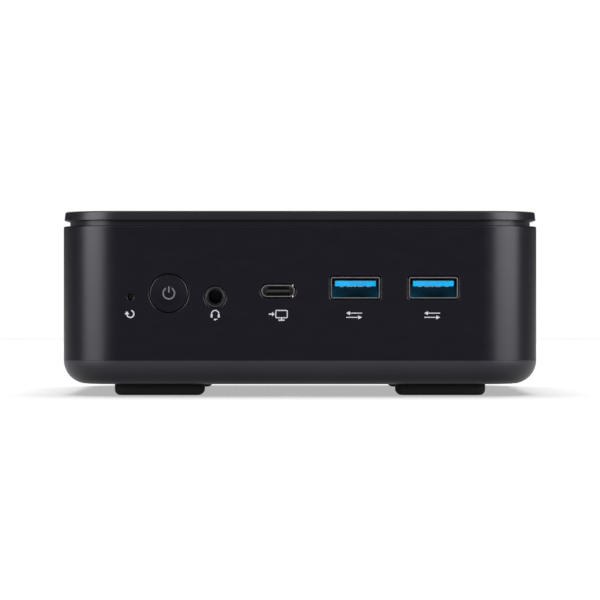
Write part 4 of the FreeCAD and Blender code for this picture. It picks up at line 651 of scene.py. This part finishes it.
def softened(node, bevel):
    """A copy of a CAD node with its sharp edges broken, in place of the node."""
    bm = bmesh.new()
    bm.from_mesh(frame["nodes"][node].data)
    bmesh.ops.remove_doubles(bm, verts=bm.verts, dist=2e-6)
    bmesh.ops.dissolve_limit(bm, angle_limit=math.radians(1.0), verts=bm.verts, edges=bm.edges)
    sharp = [edge for edge in bm.edges if edge.calc_face_angle(0.0) > math.radians(32)]
    bmesh.ops.bevel(bm, geom=sharp, affect="EDGES", offset=bevel, segments=2, profile=0.5,
                    material=-1, clamp_overlap=True)
    make_piece(f"{node}_body", bm, SLOT_OF[node], nodes=(node,))


# ---------------------------------------------------------------- casing
def usb_c_mouth():
    """Middle, width and height of the USB-C shell's mouth, without the legs under it."""
    middle = middle_of("usb_c_tongue")
    low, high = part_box("usb_c_shell")
    return middle, high.x - low.x, 2 * (high.z - middle.z)


def mouth_cutter(middle, width, height, radius, sizes, steps=12):
    """A cutter through the front wall that rounds the edge of its opening."""
    bevel = sizes.mouth_bevel
    levels = [(FRONT - sizes.wall - MM, 0.0), (FRONT - bevel, 0.0)]
    for turn in (20, 40, 60, 80):
        angle = math.radians(turn)
        levels.append((FRONT - bevel * (1 - math.sin(angle)), -bevel * (1 - math.cos(angle))))
    levels.append((FRONT + 0.1 * bevel, -1.3 * bevel))
    return facing(tower(width, height, radius, levels, steps), "front", middle.x, middle.z)


class MINI_OT_housing(bpy.types.Operator):
    """Model the main housing with its openings and side vents"""
    bl_idname = "mini.housing"
    bl_label = "Main housing"

    def execute(self, context):
        sizes, ports = context.scene.mini_casing, context.scene.mini_ports
        vents = context.scene.mini_vents
        low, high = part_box("main_housing")
        width, depth = high.x - low.x, high.y - low.y
        shell = slab(width, depth, sizes.corner, low.z, high.z, sizes.arc_steps)
        round_rim(shell, high.z, sizes.deck_edge)
        round_rim(shell, low.z, sizes.seam_edge, 3)
        inside = slab(width - 2 * sizes.wall, depth - 2 * sizes.wall, sizes.corner - sizes.wall,
                      low.z - MM, high.z - sizes.wall, sizes.arc_steps)

        cutters = []
        for node in ("usb_a_left_shell", "usb_a_right_shell"):
            size = size_of(node)
            cutters.append(mouth_cutter(middle_of(node), size.x + 2 * ports.gap,
                                        size.z + 2 * ports.gap, ports.mouth_corner, sizes))
        middle, across, tall = usb_c_mouth()
        tall += 2 * ports.gap
        cutters.append(mouth_cutter(middle, across + 2 * ports.gap, tall, tall / 2 * OVAL,
                                    sizes, 16))
        for node, radius in (("power_switch_plunger", ports.button + ports.button_gap),
                             ("audio_ring", ports.audio_hole),
                             ("reset_plunger", ports.reset_hole)):
            cutters.append(mouth_cutter(middle_of(node), 2 * radius, 2 * radius,
                                        radius * ROUND, sizes, 16))

        plate, lap = size_of("rear_io_plate"), 2 * sizes.rear_lap
        rear = slab(plate.x - lap, plate.z - lap, sizes.rear_corner,
                    depth / 2 - 1.5 * sizes.wall, depth / 2 + MM, 8)
        cutters.append(facing(rear, "rear", 0.0, middle_of("rear_io_plate").z))
        for place in spread(vents.side_count, vents.side_pitch):
            slot = slab(vents.side_width, vents.side_height, vents.side_end, -width, width, 6)
            facing(slot, "right", 0.0, high.z - vents.side_drop)
            cutters.append(moved(slot, 0.0, place))
        housing = carved(carved(shell, [inside]), cutters)
        make_piece("housing_shell", housing, "case_plastic", nodes=("main_housing",))
        return {"FINISHED"}


class MINI_OT_lid(bpy.types.Operator):
    """Model the lid with its recessed neck"""
    bl_idname = "mini.lid"
    bl_label = "Lid"

    def execute(self, context):
        sizes = context.scene.mini_casing
        low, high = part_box("top_cover")
        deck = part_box("main_housing")[1]
        width, depth = high.x - low.x, high.y - low.y
        inset, under = deck.x - high.x, deck.z + sizes.neck
        lid = slab(width, depth, sizes.corner - inset, under, high.z, sizes.arc_steps,
                   sizes.lid_draft)
        round_rim(lid, high.z, sizes.lid_edge, 5)
        round_rim(lid, under, sizes.lid_lower_edge, 2)

        step, wall = sizes.neck_inset - inset, sizes.neck_wall
        across, deep = width - 2 * step, depth - 2 * step
        corner = sizes.corner - sizes.neck_inset
        neck = slab(across, deep, corner, deck.z, under + 0.2 * MM, sizes.arc_steps)
        hollow = slab(across - 2 * wall, deep - 2 * wall, corner - wall, deck.z - MM,
                      high.z - sizes.lid_skin)
        lid = carved(carved(lid, [neck], "UNION"), [hollow])
        make_piece("lid_shell", lid, "lid_plastic", nodes=("top_cover",))
        return {"FINISHED"}


class MINI_OT_base(bpy.types.Operator):
    """Model the rounded base cover with its vents, screw wells and foot seats"""
    bl_idname = "mini.base"
    bl_label = "Base cover"

    def execute(self, context):
        casing, sizes = context.scene.mini_casing, context.scene.mini_base
        vents = context.scene.mini_vents
        low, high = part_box("base_cover")
        seam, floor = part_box("main_housing")[0].z, low.z + sizes.floor
        width, depth = high.x - low.x, high.y - low.y
        base = slab(width, depth, casing.corner, low.z, seam, casing.arc_steps)
        round_rim(base, low.z, sizes.rounding, 14)
        round_rim(base, seam, sizes.seam_edge, 2)
        inside = slab(width - 2 * sizes.wall, depth - 2 * sizes.wall,
                      casing.corner - sizes.wall, floor, seam + MM, casing.arc_steps)
        round_rim(inside, floor, sizes.inner_rounding, 6)

        cutters = [inside]
        for node in FEET:
            middle, size, gap = middle_of(node), size_of(node), sizes.seat_gap
            seat = slab(size.x + 2 * gap, size.y + 2 * gap, sizes.foot_corner + gap, low.z - MM,
                        low.z + sizes.seat_depth, 8)
            cutters.append(moved(seat, middle.x, middle.y))
        screws, inserts = size_of("base_screws") / 2, size_of("mount_inserts") / 2
        for side, end in CORNERS:
            well = disc_slab(sizes.screw_well, low.z - MM, low.z + sizes.screw_depth)
            cutters.append(moved(well, side * (screws.x - sizes.screw_head),
                                 end * (screws.y - sizes.screw_head)))
        for end in (-1, 1):
            hole = disc_slab(sizes.insert, low.z - MM, low.z + sizes.insert_depth)
            cutters.append(moved(hole, 0.0, end * (inserts.y - sizes.insert)))
        for place in spread(vents.base_count, vents.base_pitch):
            slot = slab(vents.base_width, vents.base_length, vents.base_end, low.z - MM,
                        floor + MM, 6)
            cutters.append(moved(slot, place, 0.0))
        make_piece("base_shell", carved(base, cutters), "base_plastic", nodes=("base_cover",))
        return {"FINISHED"}


class MINI_OT_feet(bpy.types.Operator):
    """Model the four rubber feet"""
    bl_idname = "mini.feet"
    bl_label = "Feet"

    def execute(self, context):
        sizes = context.scene.mini_base
        for node in FEET:
            low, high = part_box(node)
            middle, size = middle_of(node), size_of(node)
            foot = slab(size.x, size.y, sizes.foot_corner, low.z, high.z)
            round_rim(foot, low.z, sizes.foot_edge, 8)
            make_piece(f"{node}_pad", moved(foot, middle.x, middle.y), "foot_rubber",
                       nodes=(node,))
        return {"FINISHED"}


# ---------------------------------------------------------------- front
class MINI_OT_power_button(bpy.types.Operator):
    """Model the dished power button"""
    bl_idname = "mini.power_button"
    bl_label = "Power button"

    def execute(self, context):
        ports = context.scene.mini_ports
        low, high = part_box("power_button")
        middle = middle_of("power_switch_plunger")
        bevel, dish = ports.button_bevel, ports.button_dish
        rim = ports.button - bevel
        ball = (rim ** 2 + dish ** 2) / (2 * dish)
        profile = []
        for index in range(13):
            reach = rim * index / 12
            sink = dish - (ball - math.sqrt(ball ** 2 - reach ** 2))
            profile.append((reach, low.y + sink))
        for turn in (22.5, 45.0, 67.5, 90.0):
            angle = math.radians(turn)
            profile.append((rim + bevel * math.sin(angle), low.y + bevel * (1 - math.cos(angle))))
        flange, flange_front = (high.x - low.x) / 2, ports.flange_depth - FRONT
        flange_back = flange_front + ports.flange
        profile += [(ports.button, flange_front), (flange, flange_front), (flange, flange_back),
                    (ports.stem, flange_back), (ports.stem, high.y), (0.0, high.y)]
        bm = bmesh.new()
        points = [bm.verts.new((reach, y, 0.0)) for reach, y in profile]
        edges = [bm.edges.new(pair) for pair in zip(points, points[1:])]
        bmesh.ops.spin(bm, geom=points + edges, cent=(0.0, 0.0, 0.0), axis=(0.0, 1.0, 0.0),
                       angle=math.tau, steps=96, use_merge=True)
        bmesh.ops.remove_doubles(bm, verts=bm.verts, dist=1e-7)
        bmesh.ops.recalc_face_normals(bm, faces=bm.faces)
        make_piece("button_cap", moved(bm, middle.x, 0.0, middle.z), "button_plastic",
                   "power_button", ("power_button",))
        return {"FINISHED"}


def folded_shell(node, middle, width, height, radius, ports, steps=10):
    """A port's sheet shell with a softly rounded mouth and a closed back."""
    low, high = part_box(node)
    face, back, sheet = -low.y, -high.y, ports.sheet
    shell = slab(width, height, radius, back, face, steps)
    round_rim(shell, face, ports.lip, 3)
    hollow = slab(width - 2 * sheet, height - 2 * sheet, max(radius - sheet, 0.2 * MM),
                  back + sheet, face + MM, steps)
    return facing(carved(shell, [hollow]), "front", middle.x, middle.z)


class MINI_OT_front_ports(bpy.types.Operator):
    """Model the shells and tongues of the front ports, and the headset jack"""
    bl_idname = "mini.front_ports"
    bl_label = "Front ports"

    def execute(self, context):
        ports = context.scene.mini_ports
        for side in ("left", "right"):
            node = f"usb_a_{side}_shell"
            size = size_of(node)
            shell = folded_shell(node, middle_of(node), size.x, size.z, ports.shell_corner,
                                 ports)
            make_piece(f"{node}_sheet", shell, "shell_steel", nodes=(node,))
            softened(f"usb_a_{side}_tongue", ports.tongue_edge)
        middle, across, tall = usb_c_mouth()
        shell = folded_shell("usb_c_shell", middle, across, tall, tall / 2 * OVAL, ports, 16)
        make_piece("usb_c_shell_sheet", shell, "shell_steel", nodes=("usb_c_shell",))
        softened("usb_c_tongue", ports.thin_tongue_edge)
        softened("audio_jack", ports.audio_edge)
        softened("audio_ring", ports.ring_edge)
        return {"FINISHED"}


# ---------------------------------------------------------------- printed marks
# The marks are drawn in millimetres about their own middle.
def arc_strip(radius, line, start, turn, steps=40):
    """A flat bent strip about the origin, from start degrees on through turn degrees."""
    bm = bmesh.new()
    ends = [bm.verts.new((radius + side * line / 2, 0.0, 0.0)) for side in (-1, 1)]
    edge = bm.edges.new(ends)
    bmesh.ops.rotate(bm, cent=(0.0, 0.0, 0.0), matrix=turned(start, "Z"), verts=ends)
    bmesh.ops.spin(bm, geom=ends + [edge], cent=(0.0, 0.0, 0.0), axis=(0.0, 0.0, 1.0),
                   angle=math.radians(turn), steps=steps)
    return bm


def flat_shape(points):
    bm = bmesh.new()
    bm.faces.new([bm.verts.new((x, y, 0.0)) for x, y in points])
    return bm


def flat_bar(start, end, line):
    """A straight strip between two points."""
    first, last = Vector(start), Vector(end)
    along = (last - first).normalized()
    side = Vector((-along.y, along.x)) * line / 2
    return flat_shape([first - side, last - side, last + side, first + side])


def frame_strip(width, height, radius, line):
    """A rounded rectangular outline."""
    bm = bmesh.new()
    face = outline(bm, width, height, radius, 6)
    bmesh.ops.inset_region(bm, faces=[face], thickness=line, use_boundary=True)
    bmesh.ops.delete(bm, geom=[face], context="FACES")
    return bm


def arrow_head(x, y, reach, width, degrees=0.0):
    """A triangle that points left from the middle of its base, or turned by degrees."""
    bm = flat_shape([(0.0, width / 2), (-reach, 0.0), (0.0, -width / 2)])
    bmesh.ops.rotate(bm, cent=(0.0, 0.0, 0.0), matrix=turned(degrees, "Z"), verts=bm.verts)
    return moved(bm, x, y)


def reset_mark(line):
    return [arc_strip(0.92, line, 75, -255), arrow_head(-0.92, -0.1, 0.85, 1.3, -90)]


def headset_mark(line):
    cups = [flat_bar((x, -0.1), (x, -0.95), line * 1.5) for x in (-0.95, 0.95)]
    return [arc_strip(0.95, line * 0.8, -15, 210), *cups,
            moved(arc_strip(1.05, line * 0.6, -55, -40, 12), 0.0, -0.42),
            flat_bar((-0.3, -1.48), (0.25, -1.48), line * 1.2)]


def display_mark(line):
    return [moved(frame_strip(3.3, 2.2, 0.35, line * 0.8), 0.9, 0.3),
            flat_bar((0.9, -0.8), (0.9, -1.25), line),
            flat_bar((0.1, -1.3), (1.7, -1.3), line),
            flat_bar((-2.5, 0.3), (-1.5, 0.3), line),
            arrow_head(-1.6, 0.3, 0.65, 1.2, 180)]


def data_mark(line):
    return [flat_bar((-1.2, 0.56), (2.1, 0.56), line * 0.7),
            arrow_head(-1.1, 0.56, 1.0, 1.05),
            flat_bar((-2.1, -0.56), (1.2, -0.56), line * 0.7),
            arrow_head(1.1, -0.56, 1.0, 1.05, 180)]


class MINI_OT_marks(bpy.types.Operator):
    """Print the generic marks under the front ports"""
    bl_idname = "mini.marks"
    bl_label = "Printed marks"

    def execute(self, context):
        marks = context.scene.mini_marks
        usb_c, left, right, reset, audio = (middle_of(node) for node in (
            "usb_c_tongue", "usb_a_left_shell", "usb_a_right_shell", "reset_plunger",
            "audio_ring"))
        level = left.z - marks.drop
        for name, draw, x, z in (
                ("reset_mark", reset_mark, reset.x, reset.z - marks.hole_drop),
                ("headset_mark", headset_mark, audio.x, audio.z - marks.hole_drop),
                ("display_mark", display_mark, usb_c.x, level),
                ("data_mark_left", data_mark, left.x - marks.shift, level),
                ("data_mark_right", data_mark, right.x - marks.shift, level)):
            layers = []
            for shape in draw(marks.line / MM):
                bmesh.ops.scale(shape, vec=(MM, MM, MM), verts=shape.verts)
                thick = bmesh.ops.extrude_face_region(shape, geom=shape.faces[:])
                raised = [item for item in thick["geom"] if isinstance(item, bmesh.types.BMVert)]
                bmesh.ops.translate(shape, vec=(0.0, 0.0, marks.ink), verts=raised)
                bmesh.ops.recalc_face_normals(shape, faces=shape.faces)
                layers.append(moved(shape, 0.0, 0.0, FRONT))
            mark = facing(carved(layers[0], layers[1:], "UNION"), "front", x, z)
            make_piece(name, mark, "ink")
        return {"FINISHED"}


# ---------------------------------------------------------------- rear and inside
class MINI_OT_rear(bpy.types.Operator):
    """Break the edges of the rear plate and its ports"""
    bl_idname = "mini.rear"
    bl_label = "Rear ports"

    def execute(self, context):
        for node, bevel in REAR_EDGES.items():
            softened(node, bevel * MM)
        return {"FINISHED"}


class MINI_OT_inside(bpy.types.Operator):
    """Give every remaining part its finish"""
    bl_idname = "mini.inside"
    bl_label = "Finishes of the inner parts"

    def execute(self, context):
        for name, part in frame["nodes"].items():
            part.data.materials.clear()
            if name in CARD_LAMINATES:
                chips_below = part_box(name)[1].z - (CARD_LAMINATES[name] + 0.02) * MM
                finish = circuit_board(f"{name} laminate", LAMINATE, chips_below)
            else:
                finish = finish_for(SLOT_OF[name])
            part.data.materials.append(finish)
        return {"FINISHED"}


# ---------------------------------------------------------------- stage
def softbox(name, azimuth, height, distance, width, tall, power, unlit):
    """A soft light that leaves the unlit sheets dark; azimuth grows to the right."""
    light = bpy.data.lights.new(name, "AREA")
    light.shape, light.size, light.size_y, light.energy = "RECTANGLE", width, tall, power
    light.color = COOL_LIGHT
    lamp = bpy.data.objects.new(name, light)
    bpy.context.scene.collection.objects.link(lamp)
    angle = math.radians(azimuth)
    place = Vector((math.sin(angle) * distance, -math.cos(angle) * distance, height))
    lamp.location = place
    lamp.rotation_euler = (Vector((0.0, 0.0, 0.03)) - place).to_track_quat("-Z", "Y").to_euler()
    lamp.light_linking.receiver_collection = unlit


def stage_sheet(name, material, size, place):
    """A flat sheet of the studio."""
    bm = bmesh.new()
    bmesh.ops.create_grid(bm, x_segments=1, y_segments=1, size=size, matrix=place)
    mesh = bpy.data.meshes.new(name)
    bm.to_mesh(mesh)
    bm.free()
    mesh.materials.append(material)
    sheet = bpy.data.objects.new(name, mesh)
    bpy.context.scene.collection.objects.link(sheet)
    return sheet


class MINI_OT_stage(bpy.types.Operator):
    """Set up the pale floor, the soft lights and the camera"""
    bl_idname = "mini.stage"
    bl_label = "Studio"

    def execute(self, context):
        scene, studio = context.scene, context.scene.mini_studio
        recipe = Recipe("floor paper")
        paper = recipe.mix(recipe.noise(30, 3.0), (0.84, 0.84, 0.84, 1.0),
                           (0.87, 0.87, 0.87, 1.0))
        floor = stage_sheet("floor", recipe.finish(
            Base_Color=paper, Emission_Color=WHITE, Emission_Strength=studio.floor_glow,
            Roughness=0.9, Specular_IOR_Level=0.1), 6.0, Matrix.Identity(4))
        recipe = Recipe("backdrop")
        glow = recipe.mix(recipe.noise(2), WHITE, (0.99, 0.99, 0.99, 1.0))
        backdrop = stage_sheet("backdrop", recipe.finish(
            Base_Color=(0.0, 0.0, 0.0, 1.0), Emission_Color=glow,
            Emission_Strength=studio.backdrop_glow, Roughness=1.0, Specular_IOR_Level=0.0),
            0.4, Matrix.Translation((0.0, 1.3, 0.0)) @ turned(90, "X"))

        unlit = bpy.data.collections.new("not lit by the softboxes")
        for sheet in (floor, backdrop):
            unlit.objects.link(sheet)
        for entry in unlit.collection_objects:
            entry.light_linking.link_state = "EXCLUDE"
        for settings in SOFTBOXES:
            softbox(*settings, unlit)
        light = bpy.data.lights.new("overhead", "SUN")
        light.energy, light.angle = studio.overhead, math.radians(46)
        lamp = bpy.data.objects.new("overhead", light)
        scene.collection.objects.link(lamp)
        lamp.rotation_euler.x = math.radians(-20)

        world = bpy.data.worlds.new("studio")
        world.use_nodes = True
        tree = world.node_tree
        back = tree.nodes["Background"]
        path = tree.nodes.new("ShaderNodeLightPath")
        seen = tree.nodes.new("ShaderNodeMapRange")
        seen.inputs["To Min"].default_value = studio.surround
        seen.inputs["To Max"].default_value = 1.0
        tree.links.new(path.outputs["Is Camera Ray"], seen.inputs["Value"])
        tree.links.new(seen.outputs["Result"], back.inputs["Strength"])
        back.inputs["Color"].default_value = WHITE
        scene.world = world

        camera = bpy.data.cameras.new("camera")
        camera.sensor_width = 36.0
        camera.lens = camera.sensor_width * studio.distance / studio.field
        camera.clip_end = 100.0
        eye = bpy.data.objects.new("camera", camera)
        scene.collection.objects.link(eye)
        eye.location = (0.0, CAD_BOUNDS[0][1] - studio.distance, studio.eye)
        eye.rotation_euler.x = math.radians(90)
        scene.camera = eye
        scene.view_settings.view_transform = "Standard"
        return {"FINISHED"}


OPERATORS = (MINI_OT_inside, MINI_OT_housing, MINI_OT_lid, MINI_OT_base, MINI_OT_feet,
             MINI_OT_power_button, MINI_OT_front_ports, MINI_OT_marks, MINI_OT_rear,
             MINI_OT_stage)


class MINI_PT_panel(bpy.types.Panel):
    """Lists the sizes, finishes and steps of the computer"""
    bl_idname = "MINI_PT_panel"
    bl_label = "Mini Computer"
    bl_space_type = "VIEW_3D"
    bl_region_type = "UI"
    bl_category = "Mini Computer"

    def draw(self, context):
        for operator in OPERATORS:
            self.layout.operator(operator.bl_idname)
        for name, group in GROUPS.items():
            box = self.layout.box()
            for setting in group.__annotations__:
                box.prop(getattr(context.scene, name), setting)


CLASSES = (*GROUPS.values(), *OPERATORS, MINI_PT_panel)


def register():
    for kind in CLASSES:
        bpy.utils.register_class(kind)
    for name, group in GROUPS.items():
        setattr(bpy.types.Scene, name, PointerProperty(type=group))


def unregister():
    for name in GROUPS:
        delattr(bpy.types.Scene, name)
    for kind in reversed(CLASSES):
        bpy.utils.unregister_class(kind)


def main():
    register()
    for operator in OPERATORS:
        category, name = operator.bl_idname.split(".")
        getattr(getattr(bpy.ops, category), name)()


if __name__ == "__main__":
    main()
